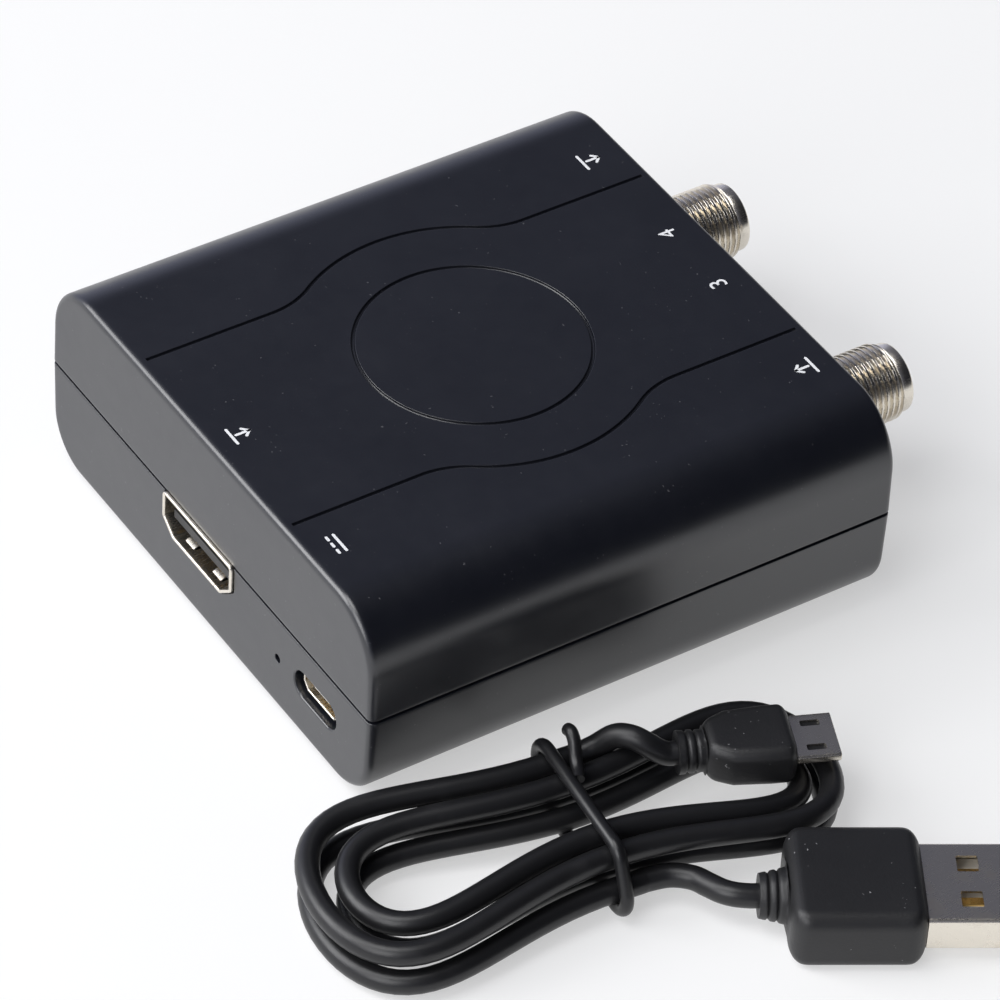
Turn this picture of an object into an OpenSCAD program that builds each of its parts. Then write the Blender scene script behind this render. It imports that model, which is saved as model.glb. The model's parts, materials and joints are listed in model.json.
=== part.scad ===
// Video to aerial-signal modulator in a moulded clamshell housing, with its power lead in a hank.
// Lengths are in millimetres and angles in degrees. The origin lies on the surface that the unit
// stands on, under the middle of the unit. The front, with the video socket, faces -Y, and +Z is up.

/* [Housing] */
// Width of the housing at the parting line
body_w = 70.4; // [66:0.2:90]
// Depth of the housing from the front face to the back face
body_d = 70; // [68:0.5:90]
// Height of the housing without its feet
body_h = 27.1; // [25:0.1:36]
// Height of the parting line above the underside
split_h = 13.3; // [13:0.1:14]
// Radius of the two long top corners
top_r = 8; // [5:0.1:10]
// Radius of the two long bottom corners
bottom_r = 6.5; // [4:0.1:7]
// Radius of the edge round the front and back faces
edge_r = 0.9; // [0.3:0.05:1.2]
// Lean of the side walls, which lets them leave the mould
draft = 1.5; // [0.5:0.1:3]
// Thickness of the roof, the floor and the walls
wall = 2; // [1.6:0.1:2.4]
// Shadow gap that shows between the two covers
split_gap = 0.4; // [0.2:0.05:0.8]
// Thickness of the lip of the bottom cover that locates the top cover
lip_t = 0.9; // [0.6:0.05:1.1]
// Height of that lip above the bottom cover's edge
lip_h = 1.4; // [0.8:0.1:2.5]

/* [Lid pattern] */
// Radius of the round groove in the middle of the lid
ring_r = 13.7; // [8:0.1:17]
// Half the width of the raised-looking middle panel where its sides run straight
panel_half_w = 15.9; // [12:0.1:20]
// Radius of the bulge of the panel round the ring
bulge_r = 20.9; // [18:0.1:24]
// Radius of the blend between a straight side and the bulge
blend_r = 10.8; // [4:0.1:16]
// Width of the engraved grooves
groove_w = 0.45; // [0.2:0.05:1]
// Depth of the engraved grooves
groove_deep = 0.4; // [0.1:0.05:1]
// Distance from the front and back faces to the ends of the grooves
groove_end = 1.3; // [1:0.1:6]

/* [Feet and screws] */
// Distance of the screws and feet from the nearer side
post_side = 8.7; // [7.5:0.1:12]
// Distance of the screws and feet from the nearer end face
post_end = 14; // [12:0.1:16]
// Diameter of a rubber foot
foot_d = 9.2; // [8.6:0.1:9.6]
// Height that a foot stands proud of the underside
foot_proud = 0.7; // [0.5:0.1:2]
// Depth of the pocket that a foot is glued into
foot_sink = 0.5; // [0.3:0.05:0.8]
// Diameter of a screw's shank
screw_d = 2.5; // [2:0.1:3]
// Length of a screw's shank under the head
screw_len = 9; // [7:0.5:11]
// Diameter of a screw's head
screw_head_d = 4.4; // [3.8:0.1:5]
// Height of a screw's head
screw_head_h = 1.6; // [1.2:0.1:1.8]
// Diameter of a screw boss under the lid
boss_d = 6; // [5:0.1:7]
// Diameter of a screw column on the floor
column_d = 6.6; // [6:0.1:7.5]
// Height of a screw column above the floor
column_h = 2.7; // [2.3:0.1:3.5]

/* [Circuit board] */
// Thickness of the circuit board
board_t = 1.6; // [1:0.1:2]
// Gap between the board and the side walls
board_side_gap = 2.2; // [1.8:0.1:4]
// Gap between the board and the front and back walls
board_end_gap = 0.6; // [0.3:0.1:1.5]

/* [Video socket] */
// Distance of the video socket from the middle plane
video_x = -1.6; // [-4:0.1:2]
// Outside width of the video socket's shell
video_w = 15.2; // [15:0.1:16]
// Outside height of the video socket's shell
video_h = 5.8; // [5.6:0.1:6.2]
// Thickness of the shell's sheet metal
video_sheet = 0.45; // [0.3:0.05:0.5]
// Height of the shell's underside above the board
video_lift = 1.3; // [0.8:0.1:1.6]
// Length of the shell behind its mouth
video_len = 11.6; // [11:0.1:14]
// Height that the mouth stands proud of the front face
video_proud = 0.4; // [0:0.1:0.8]
// Thickness of the contact tongue
video_tongue_t = 1.2; // [0.8:0.1:1.4]
// Spacing of the contacts in one row
video_pitch = 1; // [0.9:0.02:1.02]

/* [Power socket] */
// Distance of the power socket's middle from the right side
power_side = 11.4; // [11.2:0.1:15]
// Outside width of the power socket's shell
power_w = 7.5; // [7.2:0.1:8]
// Outside height of the power socket's shell
power_h = 2.6; // [2.4:0.1:2.9]
// Thickness of the shell's sheet metal
power_sheet = 0.3; // [0.2:0.05:0.35]
// Length of the power socket's shell
power_len = 5; // [4.6:0.1:6]
// Depth of the shell's mouth behind the front face
power_recess = 0.8; // [0.3:0.1:1.4]
// Width of the slot in the front wall
slot_w = 8.8; // [8.4:0.1:9.6]
// Height of the slot in the front wall
slot_h = 3.7; // [3.4:0.1:4.2]

/* [Status light] */
// Distance of the light from the right side
led_side = 19.4; // [18:0.1:23]
// Diameter of the hole that the light shines through
led_hole_d = 1.1; // [0.8:0.1:1.6]
// Height of the light above the board
led_h = 2.2; // [1.8:0.1:3]

/* [Aerial sockets] */
// Distance of the output socket's axis from the left side
rf_out_side = 17.3; // [16:0.1:20]
// Distance of the input socket's axis from the right side
rf_in_side = 19.3; // [16:0.1:22]
// Outside diameter of the threaded barrel
barrel_d = 9.5; // [9:0.05:10]
// Length of the barrel behind the back face
barrel_len = 14; // [11:0.5:18]
// Diameter of the plain nose at the barrel's end
nose_d = 8.5; // [8:0.1:8.9]
// Length of the plain nose
nose_len = 1.6; // [0.8:0.1:2.5]
// Diameter of the barrel's shoulder where it passes through the back wall
shoulder_d = 9.1; // [8.6:0.1:9.4]
// Bore of the barrel
barrel_bore = 6.2; // [5.4:0.1:6.8]
// Width of the cast block that carries the barrel
cast_w = 10.6; // [10:0.1:12]
// Depth of the cast block
cast_d = 8; // [6:0.1:10]
// Height of the barrel's axis above the board
barrel_rise = 7; // [6.6:0.1:7.8]
// Outside diameter of the centre contact
contact_d = 1.6; // [1.3:0.1:2]
// Bore of the centre contact, which grips the cable's inner wire
contact_bore = 1; // [0.8:0.05:1.1]

/* [Channel switch] */
// Distance of the switch from the middle plane
switch_x = -1; // [-3:0.1:1]
// Width of the switch's frame
switch_w = 8.6; // [8:0.1:10]
// Depth of the switch's frame
switch_d = 4.4; // [4:0.1:5]
// Height of the switch's frame
switch_h = 4.7; // [4.2:0.1:5]
// Thickness of the frame's sheet metal
switch_sheet = 0.3; // [0.2:0.05:0.4]
// Travel of the slider from one channel to the other
switch_travel = 2; // [1.5:0.1:2.5]
// Side of the slider's square finger piece
finger_w = 2; // [1.6:0.1:2.4]
// Height that the finger piece stands proud of the back face
finger_proud = 1.2; // [0.8:0.1:2]

/* [Inner parts] */
// Width of the shield over the modulator stage, as a share of the housing's width
shield_w_share = 0.37; // [0.3:0.01:0.4]
// Depth of that shield, as a share of the housing's depth
shield_d_share = 0.257; // [0.23:0.001:0.27]
// Height of that shield
shield_h = 4.5; // [3.5:0.1:6]
// Side of the video decoder chip
video_chip_w = 14; // [12:0.5:15]
// Side of the modulator chip
modulator_chip_w = 7; // [6:0.5:8]
// Side of the control chip
control_chip_w = 5; // [4:0.5:6]
// Thickness of the chips
chip_t = 1.4; // [1:0.1:1.8]
// Diameter of the electrolytic capacitors
capacitor_d = 6.3; // [5:0.1:6.6]
// Height of the electrolytic capacitors
capacitor_h = 5.8; // [4:0.1:7]

/* [Power lead] */
// Diameter of the lead's cable
cable_d = 2.8; // [2.4:0.1:3]
// Distance of the hank's waist from the middle plane
lead_x = 52.4; // [52:0.2:60]
// Distance of the hank's waist behind the front face
lead_y = 17; // [0:0.5:40]
// Turn of the hank away from the side of the unit
lead_turn = 6; // [0:0.5:8]
// Half-width of the outermost loop at the waist
waist_half = 8.6; // [8.6:0.1:10]
// Step of the waist from one whole loop to the next
waist_step = 3.5; // [3.5:0.02:3.6]
// Swelling of the outermost loop beyond its waist
swell = 17.2; // [16.6:0.1:17.6]
// Step of the swelling from one whole loop to the next
swell_step = 4.8; // [4.6:0.05:5]
// Half-length of the outermost loop
reach = 32.4; // [32:0.2:40]
// Step of the half-length from one whole loop to the next
reach_step = 3.9; // [3.8:0.05:4.1]
// Rise from the lower layer of loops to the upper layer
layer_rise = 3.5; // [3.5:0.05:4]
// Diameter of the tie's wire
tie_d = 1.6; // [1:0.1:1.8]

/* [Power lead plugs] */
// Width of the large plug's grip
grip_w = 15.4; // [14:0.1:16]
// Thickness of the large plug's grip
grip_t = 7.8; // [7:0.1:8.6]
// Length of the large plug's grip
grip_len = 15; // [13:0.5:20]
// Length of the collar behind each grip
collar_len = 3; // [2:0.1:5]
// Width of the large plug's metal shell
plug_w = 12; // [11.9:0.05:12.1]
// Thickness of the large plug's metal shell
plug_t = 4.5; // [4.4:0.05:4.6]
// Length of the large plug's metal shell in front of the grip
plug_len = 12; // [11.5:0.25:13]
// Width of the small plug's grip
small_grip_w = 8.6; // [8:0.1:9]
// Thickness of the small plug's grip
small_grip_t = 5.4; // [4.8:0.1:5.6]
// Length of the small plug's grip
small_grip_len = 10; // [8:0.5:12]
// Width of the small plug's metal shell
small_plug_w = 6.85; // [6.8:0.05:6.9]
// Thickness of the small plug's metal shell
small_plug_t = 1.8; // [1.8:0.05:1.9]
// Length of the small plug's metal shell in front of the grip
small_plug_len = 5; // [4.5:0.25:6.5]

/* [Hidden] */

// Faces of a full turn on round shapes, and on the rounded outer form of the covers
$fn = 64;
form_fn = 32;
// Overrun of cuts past the faces that they open
over = 1;
// Clearance between fixed pieces that are pushed together
fit_gap = 0.1;
// Clearance round a moving piece
run_gap = 0.3;
// Clearance between the covers and what passes through them
port_gap = 0.15;
// Clearance between neighbouring parts on the board
part_gap = 0.6;

// Levels of the stack, upwards from the surface that the unit stands on
under_z = foot_proud;
split_z = under_z + split_h;
top_z = under_z + body_h;
floor_z = under_z + wall;
board_z = floor_z + column_h;
deck_z = board_z + board_t;
video_z = deck_z + video_lift;
axis_z = deck_z + barrel_rise;
// Front face, placed so that the unit without its lead is centred on the origin
front_y = -(body_d + barrel_len - video_proud) / 2;

// Places of the posts, the sockets and the light, from the sides and ends of the housing
half_w = body_w / 2;
post_x = half_w - post_side;
post_ys = [post_end, body_d - post_end];
power_x = half_w - power_side;
led_x = half_w - led_side;
rf_out_x = rf_out_side - half_w;
rf_in_x = half_w - rf_in_side;

// Centres of the long corners, from the wall that leans by the draft
top_cz = top_z - top_r;
top_cx = half_w - (top_r + sin(draft) * (top_cz - split_z)) / cos(draft);
low_cz = under_z + bottom_r;
low_cx = half_w - (bottom_r + sin(draft) * (split_z - low_cz)) / cos(draft);

// Rebate and pockets
rebate_inset = wall - lip_t - fit_gap;
post_web_t = 1.2;
head_gap = 0.3;
screw_gap = 0.25;
foot_edge_r = 0.4;
board_corner_r = 1.5;

// Board outline
board_half_w = half_w - wall - board_side_gap;
board_front_y = wall + board_end_gap;
board_back_y = body_d - wall - board_end_gap;

// Places across and along the board, as shares of the housing's width and depth
function place(shares) = [shares[0] * body_w, shares[1] * body_d];
shield_place = place([-0.014, 0.64]);
video_chip_place = place([-0.12, 0.315]);
control_chip_place = place([0.14, 0.29]);
inductor_place = place([0.225, 0.175]);
capacitor_share = 0.39;
regulator_share = 0.34;

// Draws its children from the front face, with the front face at y = 0
module from_front() {
    translate([0, front_y, 0]) children();
}

// Extrudes an outline of the XZ plane from depth y0 to depth y1
module through(y0, y1) {
    translate([0, y1, 0]) rotate([90, 0, 0]) linear_extrude(y1 - y0) children();
}

// Rod along Y between two depths
module rod_y(d, y0, y1) {
    translate([0, y1, 0]) rotate([90, 0, 0]) cylinder(d = d, h = y1 - y0);
}

// Block between two corners
module block(low, high) {
    translate(low) cube(high - low);
}

// Rectangle with round corners, centred
module rounded_plate(w, d, r) {
    square([w - 2 * r, d], center = true);
    square([w, d - 2 * r], center = true);
    for (x = [-1, 1], y = [-1, 1]) {
        translate([x * (w / 2 - r), y * (d / 2 - r)]) circle(r);
    }
}

// Places a piece at every screw
module at_posts() {
    for (side = [-1, 1], y = post_ys) {
        translate([side * post_x, y, 0]) children();
    }
}

// Right half of the housing's outline, drawn in by an inset, from the underside to the roof
function half_outline(inset) = [
    [low_cx, under_z + inset],
    [low_cx + (bottom_r - inset) * cos(draft), low_cz - (bottom_r - inset) * sin(draft)],
    [half_w - inset / cos(draft), split_z],
    [top_cx + (top_r - inset) * cos(draft), top_cz + (top_r - inset) * sin(draft)],
    [top_cx, top_z - inset],
];

// Housing's outline across its width, drawn in by an inset
module section(inset) {
    right = half_outline(inset);
    polygon(concat(right, [for (i = [len(right) - 1 : -1 : 0]) [-right[i][0], right[i][1]]]));
    for (side = [-1, 1]) {
        translate([side * top_cx, top_cz]) circle(top_r - inset);
        translate([side * low_cx, low_cz]) circle(bottom_r - inset);
    }
}

// Outer form of the closed housing, with its long corners, its leaning sides and its round edges
module body_form() {
    corners = [[top_cx, top_cz, top_r], [low_cx, low_cz, bottom_r]];
    hull() {
        for (side = [-1, 1], y = [edge_r, body_d - edge_r]) {
            translate([side * (half_w - edge_r), y, split_z]) {
                cylinder(r = edge_r, h = split_gap, center = true, $fn = form_fn);
            }
            for (c = corners) {
                translate([side * c[0], y, c[1]]) rotate([90, 0, 0]) {
                    rotate_extrude($fn = form_fn) {
                        translate([c[2] - edge_r, 0]) circle(edge_r, $fn = form_fn);
                    }
                }
            }
        }
    }
}

// Room inside both covers
module cavity() {
    through(wall, body_d - wall) section(wall);
}

// Slab across the whole housing between two heights, drawn in from its sides and ends
module slab(inset, z0, z1) {
    block([inset - half_w, inset, z0], [half_w - inset, body_d - inset, z1]);
}

// Area of the lid's middle panel, grown by an offset: a strip, a disc and four blends
module panel(offset) {
    strip = panel_half_w + offset;
    blend_x = panel_half_w + blend_r;
    blend_y = sqrt(pow(bulge_r + blend_r, 2) - pow(blend_x, 2));
    square([2 * strip, body_d - 2 * groove_end], center = true);
    circle(bulge_r + offset);
    for (x = [-1, 1], y = [-1, 1]) {
        difference() {
            polygon([[0, 0], [0, y * blend_y], [x * blend_x, y * blend_y]]);
            translate([x * blend_x, y * blend_y]) circle(blend_r - offset);
        }
    }
}

// Engraved lines of the lid
module lid_grooves() {
    translate([0, body_d / 2, top_z - groove_deep]) linear_extrude(groove_deep + over) {
        difference() {
            panel(groove_w / 2);
            panel(-groove_w / 2);
        }
        difference() {
            circle(ring_r + groove_w / 2);
            circle(ring_r - groove_w / 2);
        }
    }
}

// Outline of the video socket's mouth, grown by an offset, with its narrow side down
video_flare_share = 0.34;
video_foot_share = 0.69;
module video_outline(offset) {
    half = video_w / 2;
    foot = half * video_foot_share;
    flare = video_h * video_flare_share;
    translate([video_x, video_z]) {
        polygon([
            [-foot, -offset], [foot, -offset], [half + offset, flare - offset / 2],
            [half + offset, video_h + offset], [-half - offset, video_h + offset],
            [-half - offset, flare - offset / 2],
        ]);
    }
}

// Outline of the power socket's mouth, grown by an offset, with its narrow side down
power_foot_share = 0.75;
power_flare_share = 0.4;
power_z = deck_z;
module power_outline(offset) {
    half = power_w / 2;
    foot = half * power_foot_share;
    flare = power_h * power_flare_share;
    translate([power_x, power_z]) {
        polygon([
            [-foot, -offset], [foot, -offset], [half + offset, flare],
            [half + offset, power_h + offset], [-half - offset, power_h + offset],
            [-half - offset, flare],
        ]);
    }
}

// Slot with round ends in the XZ plane
module slot_outline(w, h) {
    square([w - h, h], center = true);
    for (side = [-1, 1]) translate([side * (w - h) / 2, 0]) circle(h / 2);
}

// Openings in the front and back walls of both covers
window_w = finger_w + switch_travel + 3 * finger_w / 2;
window_h = finger_w + 3 * finger_w / 5;
finger_z = deck_z + switch_h / 2;
module ports() {
    through(-over, wall + over) video_outline(port_gap);
    through(-over, wall + over) {
        translate([power_x, power_z + power_h / 2]) slot_outline(slot_w, slot_h);
    }
    translate([led_x, 0, deck_z + led_h / 2]) rod_y(led_hole_d, -over, wall + over);
    through(body_d - wall - over, body_d + over) {
        translate([switch_x, finger_z]) square([window_w, window_h], center = true);
    }
    for (x = [rf_out_x, rf_in_x]) {
        translate([x, 0, axis_z]) rod_y(barrel_d + 2 * port_gap, body_d - wall - over, body_d + over);
    }
}

// Lid with its grooves, its screw bosses and their webs
boss_bore_deep = 8;
module top_cover() color("#20232c") from_front() {
    low_edge = split_z + split_gap / 2;
    web_z = low_edge + lip_h + fit_gap;
    difference() {
        union() {
            difference() {
                body_form();
                slab(-over, 0, low_edge);
                cavity();
                slab(rebate_inset, 0, web_z);
                lid_grooves();
            }
            at_posts() translate([0, 0, deck_z]) {
                cylinder(d = boss_d, h = top_z - wall / 2 - deck_z);
            }
            for (side = [-1, 1], y = post_ys) {
                through(y - post_web_t / 2, y + post_web_t / 2) intersection() {
                    section(wall / 2);
                    translate([side * (post_x + half_w) / 2, (top_z + web_z) / 2]) {
                        square([half_w - post_x, top_z - web_z], center = true);
                    }
                }
            }
        }
        at_posts() translate([0, 0, deck_z - over]) {
            cylinder(d = screw_d + fit_gap, h = boss_bore_deep + over);
        }
        ports();
    }
}

// Tub with its locating lip, its screw columns and its foot pockets
lip_clear = 0.6;
column_top_t = 2.2;
head_seat_z = floor_z + column_h - column_top_t;
module bottom_cover() color("#15181f") from_front() {
    high_edge = split_z - split_gap / 2;
    difference() {
        union() {
            difference() {
                body_form();
                slab(-over, high_edge, top_z + over);
                cavity();
            }
            difference() {
                slab(wall - lip_t, high_edge - wall, high_edge + split_gap + lip_h);
                slab(wall, high_edge - wall - over, high_edge + split_gap + lip_h + over);
            }
            at_posts() translate([0, 0, floor_z - wall / 2]) {
                cylinder(d = column_d, h = column_h + wall / 2);
            }
        }
        at_posts() {
            translate([0, 0, under_z - over]) cylinder(d = foot_d + 2 * fit_gap, h = foot_sink + over);
            translate([0, 0, under_z]) {
                cylinder(d = screw_head_d + 2 * head_gap, h = head_seat_z - under_z);
            }
            cylinder(d = screw_d + 2 * screw_gap, h = board_z + over);
        }
        ports();
        block([video_x - video_w / 2 - lip_clear, -over, split_z],
              [video_x + video_w / 2 + lip_clear, wall + over, split_z + lip_h + over]);
    }
}

// Four glued feet with rounded rims
module rubber_feet() color("#101114") from_front() at_posts() {
    rotate_extrude() {
        square([foot_d / 2 - foot_edge_r, foot_edge_r]);
        translate([0, foot_edge_r]) square([foot_d / 2, foot_proud + foot_sink - foot_edge_r]);
        intersection() {
            translate([foot_d / 2 - foot_edge_r, foot_edge_r]) circle(foot_edge_r);
            square(foot_d / 2);
        }
    }
}

// Four pan-head screws, each with a cross recess and a blunt point
recess_w = 0.7;
recess_span = 2.6;
point_len = 1.2;
module case_screws() color("#8b8f96") from_front() at_posts() {
    difference() {
        rotate_extrude() {
            polygon([
                [0, head_seat_z - screw_head_h],
                [screw_head_d / 2 - screw_head_h / 4, head_seat_z - screw_head_h],
                [screw_head_d / 2, head_seat_z - 3 * screw_head_h / 4],
                [screw_head_d / 2, head_seat_z],
                [screw_d / 2, head_seat_z],
                [screw_d / 2, head_seat_z + screw_len - point_len],
                [screw_d / 4, head_seat_z + screw_len],
                [0, head_seat_z + screw_len],
            ]);
        }
        for (turn = [0, 90]) {
            rotate(turn) translate([0, 0, head_seat_z - screw_head_h]) {
                cube([recess_span, recess_w, screw_head_h], center = true);
            }
        }
    }
}

// Legs of the sockets and shields, which pass through the board
leg_w = 1.6;
leg_below = 1;
leg_gap = 0.2;
cast_leg_d = 1.2;
cast_corner_r = 1;
cast_back_y = board_back_y - board_end_gap;
cast_y = cast_back_y - cast_d / 2;
video_leg_shares = [0.36, 0.86];
module video_legs(grow) {
    for (side = [-1, 1], share = video_leg_shares) {
        translate([
            video_x + side * (video_w - video_sheet) / 2,
            video_len * share - video_proud,
            board_z - leg_below + (video_z + video_h / 2 - board_z + leg_below) / 2,
        ]) {
            cube([
                video_sheet + 2 * grow, leg_w + 2 * grow,
                video_z + video_h / 2 - board_z + leg_below,
            ], center = true);
        }
    }
}
module cast_legs(x, d) {
    for (sx = [-1, 1], sy = [-1, 1]) {
        translate([x + sx * cast_w / 3, cast_y + sy * cast_d / 3, board_z - leg_below]) {
            cylinder(d = d, h = board_t + leg_below + over);
        }
    }
}

// Centre contact's pin, in front of the cast block
pin_w = 0.7;
pin_clear = 2;
pin_y = cast_y - cast_d / 2 - pin_clear;

// Board with rounded corners, screw holes and the holes of the soldered legs
module circuit_board() color("#1d4a35") from_front() {
    depth = board_back_y - board_front_y;
    difference() {
        translate([0, (board_front_y + board_back_y) / 2, board_z]) {
            linear_extrude(board_t) rounded_plate(2 * board_half_w, depth, board_corner_r);
        }
        at_posts() translate([0, 0, board_z - over]) {
            cylinder(d = screw_d + 2 * screw_gap, h = board_t + 2 * over);
        }
        video_legs(leg_gap);
        for (x = [rf_out_x, rf_in_x]) {
            cast_legs(x, cast_leg_d + 2 * leg_gap);
            translate([x, pin_y, board_z - over]) cylinder(d = 2 * pin_w, h = board_t + 2 * over);
        }
    }
}

// Folded shell with a back wall and four soldered legs, its mouth proud of the housing
module video_socket_shell() color("#c9c6bd") from_front() {
    difference() {
        union() {
            through(-video_proud, video_len - video_proud) video_outline(0);
            video_legs(0);
        }
        through(-video_proud - over, video_len - video_proud - video_sheet) video_outline(-video_sheet);
    }
}

// Moulded block at the back of the shell, with the contact tongue
video_block_share = 0.34;
video_tongue_share = 0.8;
video_level_share = 0.53;
video_mid_z = video_z + video_h * video_level_share;
video_block_y = video_len * (1 - video_block_share) - video_proud;
module video_socket_insulator() color("#26272a") from_front() {
    back = video_len - video_proud - video_sheet - fit_gap;
    difference() {
        union() {
            through(video_block_y, back) video_outline(-video_sheet - fit_gap);
            translate([video_x, (video_proud + video_block_y + fit_gap) / 2, video_mid_z]) {
                cube([
                    video_w * video_tongue_share, video_block_y - video_proud + fit_gap,
                    video_tongue_t,
                ], center = true);
            }
        }
        for (i = [0 : video_upper - 1]) {
            translate([video_contact_x(i, video_upper), 0, video_mid_z + video_tongue_t / 2]) {
                video_groove();
            }
        }
        for (i = [0 : video_lower - 1]) {
            translate([video_contact_x(i, video_lower), 0, video_mid_z - video_tongue_t / 2]) {
                video_groove();
            }
        }
    }
}

// Contacts of the video socket, ten above the tongue and nine below it
video_upper = 10;
video_lower = 9;
video_contact_w = 0.4;
video_contact_t = 0.16;
video_contact_y = 1.1;
function video_contact_x(i, count) = video_x + (i - (count - 1) / 2) * video_pitch;
module video_groove() {
    block([-video_contact_w / 2 - leg_gap / 2, video_contact_y - leg_gap, -video_contact_t],
          [video_contact_w / 2 + leg_gap / 2, video_block_y, video_contact_t]);
}
module video_socket_contacts() color("#d7b25c") from_front() {
    for (row = [[video_upper, 1], [video_lower, -1]], i = [0 : row[0] - 1]) {
        z = video_mid_z + row[1] * (video_tongue_t - video_contact_t) / 2;
        translate([video_contact_x(i, row[0]), (video_contact_y + video_block_y) / 2, z]) {
            cube([video_contact_w, video_block_y - video_contact_y, video_contact_t], center = true);
        }
    }
}

// Shell of the power socket, seated on the board behind the slot
power_back_y = power_recess + power_len;
module power_socket_shell() color("#c9c6bd") from_front() {
    difference() {
        through(power_recess, power_back_y) power_outline(0);
        through(power_recess - over, power_back_y - power_sheet) power_outline(-power_sheet);
    }
}

// Block and tongue of the power socket
power_tongue_w = 3.7;
power_tongue_t = 0.6;
power_block_len = 1.2;
power_level_share = 0.62;
power_mid_z = power_z + power_h * power_level_share;
power_block_y = power_back_y - power_sheet - fit_gap - power_block_len;
module power_socket_insulator() color("#e8e4da") from_front() {
    through(power_block_y, power_block_y + power_block_len) power_outline(-power_sheet - fit_gap);
    block(
        [power_x - power_tongue_w / 2, power_recess + power_sheet, power_mid_z - power_tongue_t / 2],
        [power_x + power_tongue_w / 2, power_block_y + power_block_len / 2,
         power_mid_z + power_tongue_t / 2]
    );
}

// Five contacts under the tongue
power_contacts = 5;
power_pitch = 0.65;
power_contact_w = 0.35;
power_contact_t = 0.15;
module power_socket_contacts() color("#d7b25c") from_front() {
    for (i = [0 : power_contacts - 1]) {
        x = power_x + (i - (power_contacts - 1) / 2) * power_pitch;
        under = power_mid_z - power_tongue_t / 2;
        block([x - power_contact_w / 2, power_recess + 2 * power_sheet, under - power_contact_t],
              [x + power_contact_w / 2, power_block_y, under]);
    }
}

// Side-looking light with its lens in the hole of the front wall
led_w = 3;
led_d = 1.4;
led_lens_gap = 0.1;
led_lens_len = 1.4;
module status_led() color("#dfe6d8") from_front() {
    front = board_front_y + board_end_gap;
    block([led_x - led_w / 2, front, deck_z], [led_x + led_w / 2, front + led_d, deck_z + led_h]);
    translate([led_x, 0, deck_z + led_h / 2]) {
        rod_y(led_hole_d - 2 * led_lens_gap, front - led_lens_len, front + led_d / 2);
    }
}

// Cast block and threaded barrel of an aerial socket; the thread is left plain
barrel_end_y = body_d + barrel_len;
nose_chamfer = 0.4;
mouth_chamfer = 0.5;
module aerial_barrel(x) {
    cast_h = axis_z + barrel_d / 2 + fit_gap - deck_z;
    translate([x, 0, 0]) difference() {
        union() {
            translate([0, cast_y, deck_z]) linear_extrude(cast_h) {
                rounded_plate(cast_w, cast_d, cast_corner_r);
            }
            translate([0, barrel_end_y, axis_z]) rotate([90, 0, 0]) rotate_extrude() {
                polygon([
                    [0, 0], [nose_d / 2 - nose_chamfer, 0], [nose_d / 2, nose_chamfer],
                    [nose_d / 2, nose_len - (barrel_d - nose_d) / 2], [barrel_d / 2, nose_len],
                    [barrel_d / 2, barrel_len], [shoulder_d / 2, barrel_len],
                    [shoulder_d / 2, barrel_end_y - cast_back_y], [0, barrel_end_y - cast_back_y],
                ]);
            }
            cast_legs(0, cast_leg_d);
        }
        translate([0, barrel_end_y, axis_z]) rotate([90, 0, 0]) rotate_extrude() {
            polygon([
                [0, -over], [barrel_bore / 2 + mouth_chamfer, -over], [barrel_bore / 2 + mouth_chamfer, 0],
                [barrel_bore / 2, mouth_chamfer], [barrel_bore / 2, barrel_end_y - cast_y + cast_d],
                [0, barrel_end_y - cast_y + cast_d],
            ]);
        }
    }
}

// Insulator of an aerial socket, with the funnel that leads the inner wire to the contact
funnel_d = 3.4;
funnel_deep = 1.2;
insulator_recess = 0.7;
module aerial_insulator(x) {
    front = insulator_recess;
    back = barrel_end_y - cast_y + cast_d / 2;
    translate([x, barrel_end_y, axis_z]) rotate([90, 0, 0]) rotate_extrude() {
        polygon([
            [funnel_d / 2, front], [barrel_bore / 2 - fit_gap, front], [barrel_bore / 2 - fit_gap, back],
            [contact_d / 2 + fit_gap, back], [contact_d / 2 + fit_gap, front + funnel_deep],
        ]);
    }
}

// Centre contact of an aerial socket, a split tube with a pin bent down to the board
module aerial_contact(x) {
    front_gap = insulator_recess + funnel_deep;
    translate([x, 0, axis_z]) difference() {
        union() {
            rod_y(contact_d, pin_y - pin_w / 2, barrel_end_y - front_gap);
            translate([-pin_w / 2, pin_y - pin_w / 2, board_z - leg_below - axis_z]) {
                cube([pin_w, pin_w, axis_z - board_z + leg_below]);
            }
        }
        rod_y(contact_bore, cast_y, barrel_end_y);
        translate([-contact_bore / 4, body_d, -contact_d]) {
            cube([contact_bore / 2, barrel_len, 2 * contact_d]);
        }
    }
}

module rf_out_barrel() color("#c4c0b4") from_front() aerial_barrel(rf_out_x);
module rf_out_insulator() color("#e9e4d4") from_front() aerial_insulator(rf_out_x);
module rf_out_contact() color("#d7b25c") from_front() aerial_contact(rf_out_x);
module rf_in_barrel() color("#c4c0b4") from_front() aerial_barrel(rf_in_x);
module rf_in_insulator() color("#e9e4d4") from_front() aerial_insulator(rf_in_x);
module rf_in_contact() color("#d7b25c") from_front() aerial_contact(rf_in_x);

// Folded frame of the channel switch, open towards the back wall
switch_front_y = board_back_y - switch_d;
switch_base_t = 0.8;
module channel_switch_frame() color("#b9bcc2") from_front() {
    half = switch_w / 2;
    track_w = finger_w + switch_travel + 2 * run_gap;
    difference() {
        block([switch_x - half, switch_front_y, deck_z],
              [switch_x + half, board_back_y, deck_z + switch_h]);
        block([switch_x - half + switch_sheet, switch_front_y + switch_sheet, deck_z - over],
              [switch_x + half - switch_sheet, board_back_y - switch_sheet,
               deck_z + switch_h - switch_sheet]);
        block([switch_x - track_w / 2, board_back_y - switch_sheet - over,
               finger_z - finger_w / 2 - run_gap],
              [switch_x + track_w / 2, board_back_y + over, finger_z + finger_w / 2 + run_gap]);
    }
}

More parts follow.
